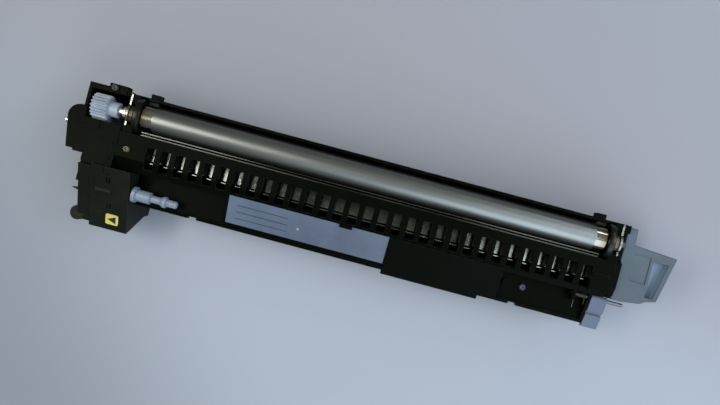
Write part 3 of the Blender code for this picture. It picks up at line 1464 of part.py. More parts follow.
def coil(name, span, centre, radius, turns, legs):
    """A wire wound about X, with straight legs that leave its two ends."""
    per_turn = 8
    points = []
    for i in range(per_turn * turns + 1):
        angle = 2 * math.pi * i / per_turn
        x = span[0] + (span[1] - span[0]) * i / (per_turn * turns)
        points.append((x, centre[0] + radius * math.sin(angle), centre[1] - radius * math.cos(angle)))
    if legs:
        points = [legs[0]] + points + [legs[1]]
    curve = bpy.data.curves.new(name, "CURVE")
    curve.dimensions = "3D"
    curve.bevel_depth = SPRING_WIRE_R
    curve.bevel_resolution = 1
    curve.use_fill_caps = True
    spline = curve.splines.new("POLY")
    spline.points.add(len(points) - 1)
    for point, place in zip(spline.points, points):
        point.co = (*place, 1)
    obj = bpy.data.objects.new(name, curve)
    UNIT.objects.link(obj)
    obj.data.materials.append(STEEL)
    return obj


def note_plate():
    y0, y1 = NOTE_PLATE_Y
    under = [(y, slope_z(y, GAP)) for y in (y1, y0)]
    over = [(y, slope_z(y, GAP + NOTE_PLATE_THICKNESS)) for y in (y0, y1)]
    return prism("note_plate", "X", [under + over], *NOTE_PLATE_X, GREY)


def raised_cover():
    """The cap that stands proud of the slope and turns down over the front edge."""
    back = COVER_STEP_Y - GAP
    front = FRONT_Y - GAP
    skirt = SLOPE_FRONT_Z - RAISED_COVER_SKIRT
    wall = RAISED_COVER_WALL
    outline = [
        (back, slope_z(back, GAP)),
        (front, slope_z(front, GAP)),
        (front, skirt),
        (front - wall, skirt),
        (front - wall, slope_z(front - wall, GAP + wall) - wall / 2),
        (front - wall / 2, slope_z(front - wall / 2, GAP + wall)),
        (back, slope_z(back, GAP + wall)),
    ]
    cap = soften(prism("raised_front_cover", "X", [outline], *RAISED_COVER_X, BLACK), GAP)
    skirt_end = box(
        "skirt_end_cut",
        (RAISED_COVER_X[1] - RAISED_SKIRT_SHORT, RAISED_COVER_X[1] + wall),
        (front - 2 * wall, FRONT_Y + GAP),
        (skirt - wall, SLOPE_TOP_Z),
    )
    return cut(cap, skirt_end)


def end_plate():
    slot = MAGNET_SHAFT_R + GAP
    dip = math.degrees(math.asin((SLEEVE_Z - PLATE_NOTCH_Z) / slot))
    outline = [(BACK_Y, END_WALL_TOP)] + end_outline()
    outline += [
        (CORNER_Y, slope_z(CORNER_Y, -COVER_WALL)),
        (COVER_STEP_Y, COVER_STEP_Z),
        (COVER_BEND_Y, END_WALL_TOP),
        (COVER_BACK_Y, END_WALL_TOP),
        (COVER_BACK_Y + COVER_WALL, PLATE_NOTCH_Z),
    ]
    outline += arc((SLEEVE_Y, SLEEVE_Z), slot, dip - 180, -dip, 8)
    outline += [(PLATE_CORNER_Y, PLATE_NOTCH_Z), (PLATE_CORNER_Y, END_WALL_TOP)]
    plate = prism("right_end_plate", "X", [outline], PLATE_X, PLATE_X + PLATE_THICKNESS, BLACK)
    return cut(plate, *plate_screw_holes("plate"))


def handle():
    strip_x = HANDLE_X + HANDLE_STRIP
    outline = [
        (HANDLE_X, HANDLE_BACK_Y),
        (strip_x, HANDLE_BACK_Y),
        (strip_x, GRIP_BACK_Y),
        GRIP_BACK_CORNER,
        GRIP_FRONT_CORNER,
        (GRIP_FRONT_CORNER[0] - 2 * GRIP_WALL, GRIP_FRONT_CORNER[1] - GRIP_WALL / 2),
        (GRIP_FRONT_CORNER[0] - 3 * GRIP_WALL, HANDLE_FRONT_Y + GRIP_WALL / 2),
        (strip_x, HANDLE_FRONT_Y),
        (HANDLE_X, HANDLE_FRONT_Y),
    ]
    grip = soften(prism("handle", "Z", [outline], HANDLE_FOOT, HANDLE_TOP, GREY), EDGE_ROUND, 2)
    lean = (GRIP_BACK_CORNER[0] - GRIP_FRONT_CORNER[0]) / (GRIP_BACK_CORNER[1] - GRIP_FRONT_CORNER[1])
    back = GRIP_BACK_CORNER[1] - POCKET_MARGINS[0]
    front = GRIP_FRONT_CORNER[1] + POCKET_MARGINS[1]
    pocket = [
        (POCKET_LEFT_X, back),
        (POCKET_LEFT_X, front),
        (GRIP_FRONT_CORNER[0] - GRIP_WALL + lean * (front - GRIP_FRONT_CORNER[1]), front),
        (GRIP_FRONT_CORNER[0] - GRIP_WALL + lean * (back - GRIP_FRONT_CORNER[1]), back),
    ]
    panel = box(
        "handle_panel",
        (strip_x + GRIP_WALL / 3, POCKET_LEFT_X - GRIP_WALL / 2),
        HANDLE_PANEL_Y,
        (HANDLE_TOP - PANEL_DEPTH, HANDLE_TOP + PANEL_DEPTH),
    )
    underside = box(
        "handle_hollow",
        (HANDLE_X + GRIP_WALL, POCKET_LEFT_X - GRIP_WALL),
        (HANDLE_FRONT_Y + GRIP_WALL, GRIP_BACK_Y - GRIP_WALL),
        (0, HANDLE_TOP - GRIP_WALL),
    )
    finger_room = prism("grip_pocket", "Z", [pocket], GRIP_FLOOR, HANDLE_TOP + GRIP_WALL)
    grip_hollow = prism("grip_hollow", "Z", [pocket], 0, GRIP_FLOOR - GRIP_WALL)
    return cut(grip, finger_room, panel, underside, grip_hollow)


def release_lever():
    """A lever along the slope, hinged at its back on a pin that runs along X."""
    pivot = (LEVER_PIN_Y, LEVER_PIN_Z)
    head = CORNER_Y - GAP - LEVER_PIN_Y
    nose = FRONT_Y - WALL
    floor = LEDGE_Z + GAP
    proud = LEVER_PROUD
    groove_y = (LEVER_PIN_Y - 3.8 * head, LEVER_PIN_Y - 4.8 * head)
    outline = arc(pivot, head, 80, -110, 10)
    outline += [
        (LEVER_PIN_Y - 2 * head, floor),
        (nose + proud, floor),
        (nose, floor + proud),
        (nose, slope_z(nose, proud)),
        (groove_y[1], slope_z(groove_y[1], proud)),
        (groove_y[1], slope_z(groove_y[1], proud - LEVER_GROOVE)),
        (groove_y[0], slope_z(groove_y[0], proud - LEVER_GROOVE)),
        (groove_y[0], slope_z(groove_y[0], proud)),
    ]
    low = RIGHT_TRAY[1] + COVER_WALL + GAP
    return prism(
        "release_lever",
        "X",
        [outline, circle(pivot, LEVER_PIN_R + RUNNING, 16)],
        low,
        low + LEVER_WIDTH,
        GREY,
    )


def lever_hinge():
    low = PIN_RIB_X - COVER_WALL - GAP
    high = HANDLE_X + LEVER_PIN_REACH
    tip = LEVER_PIN_R / 3
    profile = [
        (low, 0),
        (low, LEVER_PIN_R),
        (high - tip, LEVER_PIN_R),
        (high, LEVER_PIN_R - tip),
        (high, 0),
    ]
    turned("lever_pin", profile, LEVER_PIN_Y, LEVER_PIN_Z, STEEL, 16)
    radius = LEVER_PIN_R + GAP + SPRING_WIRE_R
    span = (PIN_RIB_X + GAP + 2 * SPRING_WIRE_R, RIGHT_TRAY[1] - GAP - 2 * SPRING_WIRE_R)
    low_z = LEVER_PIN_Z - radius
    legs = [(span[0], LEVER_PIN_Y - LEVER_LEGS[0], low_z), (span[1], LEVER_PIN_Y - LEVER_LEGS[1], low_z)]
    coil("lever_spring", span, (LEVER_PIN_Y, LEVER_PIN_Z), radius, LEVER_SPRING_TURNS, legs)


def toner_sensor():
    """The sensor under the mixing channel, between the keel and the front rail."""
    y = (-SIDE_RAIL_Y + RAIL_WIDTH / 2 + SENSOR_MARGIN, -KEEL_WIDTH / 2 - SENSOR_MARGIN)
    top = AUGER_Z - CHANNEL_R - WALL - GAP
    body = box("toner_sensor", SENSOR_X, y, (top - SENSOR_HEIGHT, top), BLACK)
    plug = box(
        "sensor_plug",
        (SENSOR_X[1] - SENSOR_MARGIN, SENSOR_X[1] + SENSOR_HEIGHT),
        (y[0] + SENSOR_MARGIN, y[1] - SENSOR_MARGIN),
        (top - 0.8 * SENSOR_HEIGHT, top - 0.2 * SENSOR_HEIGHT),
    )
    return join(body, plug)


def fasteners():
    floor = LEDGE_Z + 2 * GAP + TRAY_FLOOR
    screw("cover_screw", (*COVER_SCREW, COVER_TOP + GAP), "Z", SCREW_LENGTH)
    screw("tray_screw", (*TRAY_SCREW, floor), "Z", SCREW_LENGTH / 2)
    screw("case_screw", (*CASE_SCREW, CASE_TOP + GAP), "Z", SCREW_LENGTH)
    for side, name in ((-1, "front"), (1, "back")):
        screw(f"plate_screw_{name}", (HANDLE_X, side * PLATE_SCREW_Y, PLATE_SCREW_Z), "X", SCREW_LENGTH)


def build():
    lower_housing()
    slotted_cover()
    slot_plate()
    trimmer()
    sleeve, drive_shaft, end_flange, collar, rollers = roller()
    sleeve_gear, idler, supply_gear, mixing_gear = gear_train()
    screws = augers()
    gear_case()
    inlet_block()
    direction_mark()
    rod, plate = shutter()
    note_plate()
    raised_cover()
    end_plate()
    handle()
    lever = release_lever()
    lever_hinge()
    toner_sensor()
    fasteners()
    hang("sleeve_axis", (0, SLEEVE_Y, SLEEVE_Z), sleeve, drive_shaft, end_flange, collar, sleeve_gear)
    hang("left_roller_axis", (-HALF_SLEEVE, SLEEVE_Y, SLEEVE_Z), rollers["left"])
    hang("right_roller_axis", (HALF_SLEEVE, SLEEVE_Y, SLEEVE_Z), rollers["right"])
    hang("idler_axis", (GEAR_FACE_X, *idler_centre()), idler)
    hang("supply_axis", (0, AUGER_Y, AUGER_Z), screws["supply"], supply_gear)
    hang("mixing_axis", (0, -AUGER_Y, AUGER_Z), screws["mixing"], mixing_gear)
    hang("shutter_slide", (BLOCK_RIGHT_X, ROD_Y, ROD_Z), rod, plate)
    hang("lever_axis", (HANDLE_X, LEVER_PIN_Y, LEVER_PIN_Z), lever)


build()
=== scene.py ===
"""The looks of a colour copier's developer unit: finishes, fine pieces, floor, light, camera."""

import json
import math

import bmesh
import bpy
from bpy.props import FloatProperty, FloatVectorProperty, IntProperty, PointerProperty
from mathutils import Matrix, Vector


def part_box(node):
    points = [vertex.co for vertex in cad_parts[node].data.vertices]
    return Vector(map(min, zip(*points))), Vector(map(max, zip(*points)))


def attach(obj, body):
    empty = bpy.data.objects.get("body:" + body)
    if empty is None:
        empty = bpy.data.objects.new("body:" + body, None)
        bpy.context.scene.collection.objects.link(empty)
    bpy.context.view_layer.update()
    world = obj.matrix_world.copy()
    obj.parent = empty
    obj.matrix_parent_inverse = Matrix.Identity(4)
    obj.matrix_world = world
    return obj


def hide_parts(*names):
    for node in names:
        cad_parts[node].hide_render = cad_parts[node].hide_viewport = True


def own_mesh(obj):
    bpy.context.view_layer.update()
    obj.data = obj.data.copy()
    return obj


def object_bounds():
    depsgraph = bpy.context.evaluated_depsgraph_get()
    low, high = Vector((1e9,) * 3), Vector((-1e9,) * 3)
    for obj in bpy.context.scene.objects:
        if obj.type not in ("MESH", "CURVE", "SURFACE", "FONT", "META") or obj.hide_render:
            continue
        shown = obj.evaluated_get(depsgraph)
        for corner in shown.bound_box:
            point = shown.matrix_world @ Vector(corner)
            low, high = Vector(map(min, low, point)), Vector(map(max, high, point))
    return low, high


bl_info = {
    "name": "Developer Unit Looks",
    "version": (1, 0, 0),
    "blender": (4, 5, 0),
    "location": "View3D > Sidebar > Developer Unit",
    "description": "Dresses the packed developer unit with finishes, fine pieces and a stage",
    "category": "Object",
}

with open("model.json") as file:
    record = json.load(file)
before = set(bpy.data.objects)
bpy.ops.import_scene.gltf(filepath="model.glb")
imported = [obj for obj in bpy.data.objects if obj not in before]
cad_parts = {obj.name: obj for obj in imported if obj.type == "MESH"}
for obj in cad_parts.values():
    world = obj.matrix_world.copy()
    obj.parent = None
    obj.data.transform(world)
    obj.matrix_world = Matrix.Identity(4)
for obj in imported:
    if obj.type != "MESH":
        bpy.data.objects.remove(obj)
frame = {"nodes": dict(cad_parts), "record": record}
CAD_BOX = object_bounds()
NODES = frame["nodes"]


# Sizes, in metres

SLEEVE_WALL = 0.0008
SLEEVE_LIP = 0.0003
SLEEVE_STEPS = 128
BARE_END = 0.0078  # length of the polished band at each end of the sleeve
BAND_BLUR = 0.0004

TYRE_BORE = 0.0037
TYRE_EDGE = 0.0006

SPRING_WIRE = 0.00025
SPRING_TURNS = 6

POCKET_LEFT = 0.0160  # in from the handle's right end
POCKET_RIGHT = 0.0078  # in from the handle's right end, where Y is 0
POCKET_LEAN = 0.212  # shift of its right wall in X per metre of Y
POCKET_FRONT = -0.0072
POCKET_BACK = 0.0192
POCKET_FLOOR = 0.0394
POCKET_LIP = 0.0003
POCKET_BLUR = 0.0004
POCKET_LIP_BLUR = 0.0009
# How much paler the pocket is painted, as painted light in the recess
POCKET_PAINTED_LIGHT = 3.8

PLATE_THICKNESS = 0.001
LINE_LENGTH = 0.036
LINE_MIDDLE = 0.0240  # from the plate's left edge
LINE_FIRST = 0.0056  # from the plate's back edge
LINE_PITCH = 0.0045
DOT_PLACE = (0.0495, 0.0108)  # from the plate's left and back edges
DOT_RADIUS = 0.0009
DOT_CORNERS = 20
DOT_THICKNESS = 0.0003
INK_GAP = 0.00002

MARK_THICKNESS = 0.0005
MARK_RISE = 0.00033  # of the triangle over the middle of the mark
TRIANGLE = ((-0.0031, 0), (0.0028, -0.0027), (0.0028, 0.0027))

SHEET_SHADE = (-0.0035, 0.0060)  # where painted shade darkens the slot plate under the roof, along Y

GRAIN_DEPTH = 0.00004
RING_DEPTH = 0.00002
FILM_DEPTH = 0.00003
SHEET_DEPTH = 0.0003
FELT_DEPTH = 0.0002

FLOOR_HALF = 2.5
FLOOR_GAP = 0.0002
CORNER_REACH = (-0.14, -0.40)  # where painted shade darkens the floor towards the left front corner, along X
CORNER_LEAN = 0.9  # metres along X per metre along Y
BEHIND_REACH = (-0.04, 0.09)  # where painted shade darkens the floor behind the unit, along Y
BEHIND_END = (0.09, 0.45)  # where that painted shade grows paler again, along Y
BEHIND_LEAN = 0.15  # metres along Y per metre along X

PICTURE_WIDTH = 720  # in pixels
SENSOR_WIDTH = 36.0  # in millimetres
CAMERA_PLACE = (-0.0016, 0.0062)
CAMERA_SHIFT = (-4.84, 1.26)  # in pixels


# Tones

DARK_DUST = (0.026, 0.031, 0.025)
PALE_DUST = (0.20, 0.24, 0.30)
METAL_DUST = (0.16, 0.16, 0.17)
# Rubbed edges of the black mouldings, made pale as wear and as a painted edge highlight
EDGE_WEAR_AND_HIGHLIGHT_BLACK = (0.050, 0.060, 0.049)
RUBBED_GREY = (0.24, 0.28, 0.36)

SHEET_DARK = (0.11, 0.135, 0.118)
SHEET_BRIGHT = (0.30, 0.335, 0.30)
# Painted shade on the slot plate under the cover's roof
SHEET_PAINTED_SHADE = (0.075, 0.090, 0.078)
SHEET_EDGE = (0.60, 0.62, 0.60)

FELT_DARK = (0.012, 0.013, 0.013)
FELT_PALE = (0.045, 0.048, 0.046)

# Painted shade on the floor, behind the unit and towards the left front corner
FLOOR_PAINTED_SHADE_BEHIND = (0.208, 0.166, 0.184)
FLOOR_PAINTED_SHADE_CORNER = (0.05, 0.07, 0.10)
CORNER_PAINTED_SHADE_SHARE = 0.42
BEHIND_PAINTED_SHADE_SHARE = 0.36
BEHIND_REST = 0.45

SKY = (0.95, 0.985, 0.83)
WALL_REACH = (0.0, 0.8)  # where the walls grow brighter, from level to nearly straight up
WALL_FOOT = 0.4  # their brightness low down
OVERHEAD_REACH = (0.93, 1.0)  # where the ceiling dims
OVERHEAD_SHARE = 0.42

# Mouldings: the setting with their colour, colour of the rubbed edges (for the black covers also
# a painted edge highlight), dust, roughness, depth of the grain, wear of the edges, cover of
# dust, gloss
MOULDINGS = {
    "cover_black": ("housing", EDGE_WEAR_AND_HIGHLIGHT_BLACK, DARK_DUST, 0.42, 0.35, 0.8, 0.02, 0.03),
    "block_black": ("case", (0.060, 0.068, 0.058), DARK_DUST, 0.48, 0.40, 0.8, 0.12, 0.11),
    "case_black": ("gear_case", EDGE_WEAR_AND_HIGHLIGHT_BLACK, DARK_DUST, 0.44, 0.40, 0.8, 0.02, 0.03),
    "roller_black": ("housing", (0.06, 0.06, 0.06), DARK_DUST, 0.30, 0.12, 0.4, 0.2, 0.3),
    "magnet_black": ("magnet", (0.12, 0.12, 0.12), DARK_DUST, 0.6, 0.5, 0.5, 0.5, 0.5),
    "handle_grey": ("grey", (0.24, 0.28, 0.34), PALE_DUST, 0.44, 0.3, 0.35, 0.15, 0.35),
    "lever_grey": ("lever", RUBBED_GREY, PALE_DUST, 0.44, 0.3, 0.35, 0.15, 0.35),
    "plate_grey": ("plate", RUBBED_GREY, PALE_DUST, 0.38, 0.15, 0.3, 0.15, 0.45),
    "gear_white": ("white", (0.46, 0.52, 0.62), (0.26, 0.30, 0.37), 0.34, 0.12, 0.3, 0.25, 0.5),
    # The rod: the same white acetal as the gears, painted darker as painted shade
    "rod_white": ("rod", (0.34, 0.40, 0.52), (0.20, 0.24, 0.31), 0.36, 0.12, 0.3, 0.25, 0.5),
}

# Metals: colour, roughness, scale of the rings, depth of the rings, radius of the rubbed edges
METALS = {
    "shaft_steel": ((0.60, 0.60, 0.58), 0.24, 4200.0, 0.15, 0.0002),
    "blade_steel": ((0.080, 0.088, 0.078), 0.24, 900.0, 0.05, 0.0002),
    "backing_steel": ((0.064, 0.070, 0.062), 0.26, 900.0, 0.05, 0.0002),
    "spring_wire": ((0.11, 0.10, 0.085), 0.40, 900.0, 0.03, 0.00005),
    "clip_steel": ((0.20, 0.205, 0.20), 0.22, 700.0, 0.04, 0.0001),
    "pin_steel": ((0.125, 0.12, 0.14), 0.34, 700.0, 0.03, 0.0001),
    "bush_bronze": ((0.10, 0.085, 0.05), 0.40, 2600.0, 0.15, 0.0002),
    "screw_plated": ((0.30, 0.31, 0.33), 0.36, 3000.0, 0.15, 0.0002),
    "screw_black": ((0.035, 0.037, 0.036), 0.40, 2000.0, 0.15, 0.0002),
    "screw_dull": ((0.085, 0.095, 0.115), 0.50, 2000.0, 0.15, 0.0002),
    "screw_olive": ((0.075, 0.080, 0.038), 0.46, 2000.0, 0.15, 0.0002),
}

# Inks and paint: colour, roughness
INKS = {
    "black_ink": ((0.012, 0.012, 0.014), 0.45),
    "line_ink": ((0.010, 0.016, 0.040), 0.5),
    "dot_paint": ((0.22, 0.26, 0.31), 0.4),
}

SLOT_FINISHES = {
    "black_plastic": "cover_black",
    "black_acetal": "roller_black",
    "grey_plastic": "handle_grey",
    "white_acetal": "gear_white",
    "blasted_sleeve": "sleeve_metal",
    "turned_steel": "shaft_steel",
    "sheet_steel": "blade_steel",
    "dark_sheet": "backing_steel",
    "spring_steel": "spring_wire",
    "screw_zinc": "screw_plated",
    "bronze": "bush_bronze",
    "magnet": "magnet_black",
    "felt": "seal_felt",
    "yellow_mark": "mark_film",
}

OWN_FINISHES = {
    "gear_case": "case_black",
    "inlet_block": "block_black",
    "shutter_rod": "rod_white",
    "note_plate": "plate_grey",
    "release_lever": "lever_grey",
    "slot_plate": "slot_sheet",
    "left_bearing_clip": "clip_steel",
    "right_bearing_clip": "clip_steel",
    "lever_pin": "pin_steel",
    "case_screw": "screw_black",
    "tray_screw": "screw_dull",
    "cover_screw": "screw_olive",
}

# Lamps: name, place, size, share of the power setting, colour
LAMPS = (
    ("window", (0.62, -0.78, 0.95), (1.25, 1.25), 0.97, (0.78, 0.89, 1.0)),
    ("side", (0.90, 0.27, 0.95), (0.8, 0.55), 0.58, (0.76, 0.88, 1.0)),
    ("room", (-0.72, -0.03, 1.00), (0.7, 0.3), 0.50, (1.0, 0.92, 0.84)),
    ("ceiling_left", (-0.43, 0.0, 1.15), (0.62, 0.20), 0.10, (1.0, 0.98, 0.95)),
    ("ceiling_right", (0.43, 0.08, 1.15), (0.62, 0.24), 0.070, (0.96, 0.98, 1.0)),
    ("door", (0.52, 0.74, 0.62), (0.35, 0.12), 0.06, (0.95, 0.97, 1.0)),
)


# Node helpers

FLOAT = "NodeSocketFloat"
VECTOR = "NodeSocketVector"


def feed(tree, socket, value):
    """Links an output to a socket, or sets the socket to a plain value."""
    if isinstance(value, bpy.types.NodeSocket):
        tree.links.new(value, socket)
    else:
        socket.default_value = value


def add(tree, kind, inputs=None, **settings):
    """A node with its settings, whose inputs take values or other nodes' outputs."""
    node = tree.nodes.new(kind)
    for key, value in settings.items():
        setattr(node, key, value)
    for key, value in (inputs or {}).items():
        feed(tree, node.inputs[key], value)
    return node


def maths(tree, operation, first, second=0.0, clamp=False):
    inputs = {0: first, 1: second}
    return add(tree, "ShaderNodeMath", inputs, operation=operation, use_clamp=clamp).outputs[0]


def total(tree, first, second, clamp=False):
    return maths(tree, "ADD", first, second, clamp)


def product(tree, first, second):
    return maths(tree, "MULTIPLY", first, second)


def blend(tree, factor, first, second):
    """A colour between two colours."""
    inputs = {0: factor, 6: first, 7: second}
    return add(tree, "ShaderNodeMix", inputs, data_type="RGBA").outputs[2]


def ramp(tree, value, low, high, to_low=0.0, to_high=1.0):
    """A smooth change from one value to another while the input goes from low to high."""
    inputs = {
        "Value": value,
        "From Min": low,
        "From Max": high,
        "To Min": to_low,
        "To Max": to_high,
    }
    return add(tree, "ShaderNodeMapRange", inputs, interpolation_type="SMOOTHSTEP").outputs[0]


def object_place(tree):
    """Where a point lies in the row's frame at rest."""
    return add(tree, "ShaderNodeTexCoord").outputs["Object"]


def split(tree, vector):
    """The X, Y and Z of a vector."""
    return add(tree, "ShaderNodeSeparateXYZ", {0: vector}).outputs


def join(tree, x, y, z=0.0):
    """A vector from its X, Y and Z."""
    return add(tree, "ShaderNodeCombineXYZ", {0: x, 1: y, 2: z}).outputs[0]


def noise(tree, place, scale, detail, roughness=0.5):
    inputs = {"Vector": place, "Scale": scale, "Detail": detail, "Roughness": roughness}
    return add(tree, "ShaderNodeTexNoise", inputs).outputs[0]


def emboss(tree, shader, height, strength, distance, normal=None):
    """Bumps a shader's surface, over the normal of a rounded edge where one is given."""
    inputs = {"Height": height, "Strength": strength, "Distance": distance}
    if normal is not None:
        inputs["Normal"] = normal
    bump = add(tree, "ShaderNodeBump", inputs)
    tree.links.new(bump.outputs[0], shader.inputs["Normal"])


def new_group(name, inputs, outputs):
    """An empty shared group with its number inputs and its outputs."""
    tree = bpy.data.node_groups.new(name, "ShaderNodeTree")
    for label, default in inputs.items():
        socket = tree.interface.new_socket(name=label, in_out="INPUT", socket_type=FLOAT)
        socket.default_value = default
    for label, kind in outputs.items():
        tree.interface.new_socket(name=label, in_out="OUTPUT", socket_type=kind)
    return tree, tree.nodes.new("NodeGroupInput"), tree.nodes.new("NodeGroupOutput")


def place_group(tree, name, **values):
    """Puts a shared group in a material with its own values."""
    node = tree.nodes.new("ShaderNodeGroup")
    node.node_tree = bpy.data.node_groups[name]
    for label, value in values.items():
        feed(tree, node.inputs[label.replace("_", " ")], value)
    return node.outputs


# Shared effects


def moulded_grain_group():
    """The spark-eroded grain of a moulding, with a slow drift in tone."""
    tree, source, sink = new_group(
        "Moulded grain", {"Scale": 900.0, "Drift Scale": 18.0}, {"Height": FLOAT, "Drift": FLOAT}
    )
    place = object_place(tree)
    scale = source.outputs["Scale"]
    fine = noise(tree, place, scale, 3.0)
    inputs = {"Vector": place, "Scale": scale}
    cells = add(tree, "ShaderNodeTexVoronoi", inputs, feature="F1").outputs[0]
    slow = noise(tree, place, source.outputs["Drift Scale"], 4.0, 0.6)
    tree.links.new(total(tree, fine, product(tree, cells, 0.5)), sink.inputs["Height"])
    tree.links.new(ramp(tree, slow, 0.3, 0.7), sink.inputs["Drift"])


def worn_edge_group():
    """A mask over the sharp edges, broken up by noise, and the normal of a rounded edge."""
    tree, source, sink = new_group(
        "Worn edge", {"Radius": 0.0003, "Breakup": 260.0}, {"Mask": FLOAT, "Normal": VECTOR}
    )
    inputs = {"Radius": source.outputs["Radius"]}
    rounded = add(tree, "ShaderNodeBevel", inputs, samples=4).outputs[0]
    flat = add(tree, "ShaderNodeNewGeometry").outputs["True Normal"]
    inputs = {0: rounded, 1: flat}
    along = add(tree, "ShaderNodeVectorMath", inputs, operation="DOT_PRODUCT").outputs["Value"]
    edge = ramp(tree, along, 0.985, 0.80)
    speckle = noise(tree, object_place(tree), source.outputs["Breakup"], 4.0, 0.7)
    tree.links.new(product(tree, edge, ramp(tree, speckle, 0.38, 0.62)), sink.inputs["Mask"])
    tree.links.new(rounded, sink.inputs["Normal"])


def settled_dust_group():
    """Fine dust and toner that lie on what faces up."""
    tree, source, sink = new_group("Settled dust", {"Scale": 60.0, "Cover": 0.5}, {"Mask": FLOAT})
    up = split(tree, add(tree, "ShaderNodeNewGeometry").outputs["Normal"])["Z"]
    place = object_place(tree)
    patches = noise(tree, place, source.outputs["Scale"], 6.0, 0.65)
    specks = noise(tree, place, 2600.0, 2.0)
    film = product(tree, ramp(tree, patches, 0.42, 0.75), source.outputs["Cover"])
    specked = total(tree, film, ramp(tree, specks, 0.70, 0.80, to_high=0.35), clamp=True)
    tree.links.new(product(tree, specked, ramp(tree, up, 0.2, 0.9)), sink.inputs["Mask"])


def turned_lines_group():
    """The fine rings that a lathe leaves round X, and longer marks along the bar."""
    tree, source, sink = new_group(
        "Turned lines", {"Rings": 4200.0, "Marks": 240.0}, {"Height": FLOAT, "Tone": FLOAT}
    )
    x, y, z = split(tree, object_place(tree))
    across = join(tree, x, product(tree, y, 0.02))
    rings = noise(tree, across, source.outputs["Rings"], 2.0)
    along = join(tree, product(tree, x, 0.06), y, z)
    marks = noise(tree, along, source.outputs["Marks"], 5.0)
    tree.links.new(rings, sink.inputs["Height"])
    tree.links.new(ramp(tree, marks, 0.35, 0.65), sink.inputs["Tone"])


# Finishes


def new_finish(name, roughness, metallic=0.0, coat=0.0, gloss=0.5):
    """The tree and shader of a new material, with plain values on the shader's own sockets."""
    material = bpy.data.materials.new(name)
    material.use_nodes = True
    tree = material.node_tree
    shader = tree.nodes["Principled BSDF"]
    shader.inputs["Roughness"].default_value = roughness
    shader.inputs["Metallic"].default_value = metallic
    shader.inputs["Specular IOR Level"].default_value = gloss
    if coat:
        shader.inputs["Coat Weight"].default_value = coat
        shader.inputs["Coat Roughness"].default_value = 0.25
    return tree, shader


def shaded(colour, factor=1.0):
    """A colour made darker or paler, with the fourth value that a colour socket takes."""
    return (colour[0] * factor, colour[1] * factor, colour[2] * factor, 1.0)


def moulded_plastic(name, colour, edge_wear_and_highlight, dust, roughness, depth, wear, cover, gloss):
    """A moulding: grain, slow drift in tone, rubbed edges and a little dust."""
    tree, shader = new_finish(name, roughness, gloss=gloss)
    grain = place_group(tree, "Moulded grain")
    edge = place_group(tree, "Worn edge")
    settled = place_group(tree, "Settled dust", Cover=cover)
    tone = blend(tree, grain["Drift"], shaded(colour, 0.78), shaded(colour, 1.22))
    # Rubbed edges; where the edge colour is pale, as on the black covers, this is also a painted
    # edge highlight
    rubbed = blend(tree, product(tree, edge["Mask"], wear), tone, shaded(edge_wear_and_highlight))
    dusted = blend(tree, product(tree, settled["Mask"], 0.5), rubbed, shaded(dust))
    tree.links.new(dusted, shader.inputs["Base Color"])
    uneven = total(tree, product(tree, grain["Drift"], 0.12), roughness - 0.06)
    dull = total(tree, uneven, product(tree, settled["Mask"], 0.25), clamp=True)
    tree.links.new(dull, shader.inputs["Roughness"])
    emboss(tree, shader, grain["Height"], depth, GRAIN_DEPTH, edge["Normal"])


def paint_pocket_light(name, colour):
    """Painted light down in the grip's pocket: the plastic there is painted paler where the
    recess would lie in shade.
    """
    tree = bpy.data.materials[name].node_tree
    socket = tree.nodes["Principled BSDF"].inputs["Base Color"]
    x, y, z = split(tree, object_place(tree))
    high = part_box("handle")[1]
    slant = maths(tree, "SUBTRACT", x, product(tree, y, POCKET_LEAN))
    walls = (
        (x, high.x - POCKET_LEFT, POCKET_BLUR),
        (slant, high.x - POCKET_RIGHT, -POCKET_BLUR),
        (y, POCKET_FRONT, POCKET_BLUR),
        (y, POCKET_BACK, -POCKET_BLUR),
        (z, POCKET_FLOOR, POCKET_BLUR),
        (z, high.z - POCKET_LIP, -POCKET_LIP_BLUR),
    )
    mask = 1.0
    for value, wall, inwards in walls:
        mask = product(tree, ramp(tree, value, wall, wall + inwards), mask)
    tree.links.new(blend(tree, mask, socket.links[0].from_socket, colour), socket)


def worked_metal(name, colour, roughness, rings, depth, radius):
    """Turned, drawn or rolled metal with fine lines and a patchy sheen."""
    tree, shader = new_finish(name, roughness, metallic=1.0)
    lines = place_group(tree, "Turned lines", Rings=rings)
    edge = place_group(tree, "Worn edge", Radius=radius)
    settled = place_group(tree, "Settled dust", Cover=0.25)
    tone = blend(tree, lines["Tone"], shaded(colour, 0.82), shaded(colour, 1.18))
    dusted = blend(tree, product(tree, settled["Mask"], 0.35), tone, shaded(METAL_DUST))
    tree.links.new(dusted, shader.inputs["Base Color"])
    sheen = total(tree, product(tree, lines["Tone"], 0.14), roughness - 0.07)
    tree.links.new(sheen, shader.inputs["Roughness"])
    emboss(tree, shader, lines["Height"], depth, RING_DEPTH, edge["Normal"])


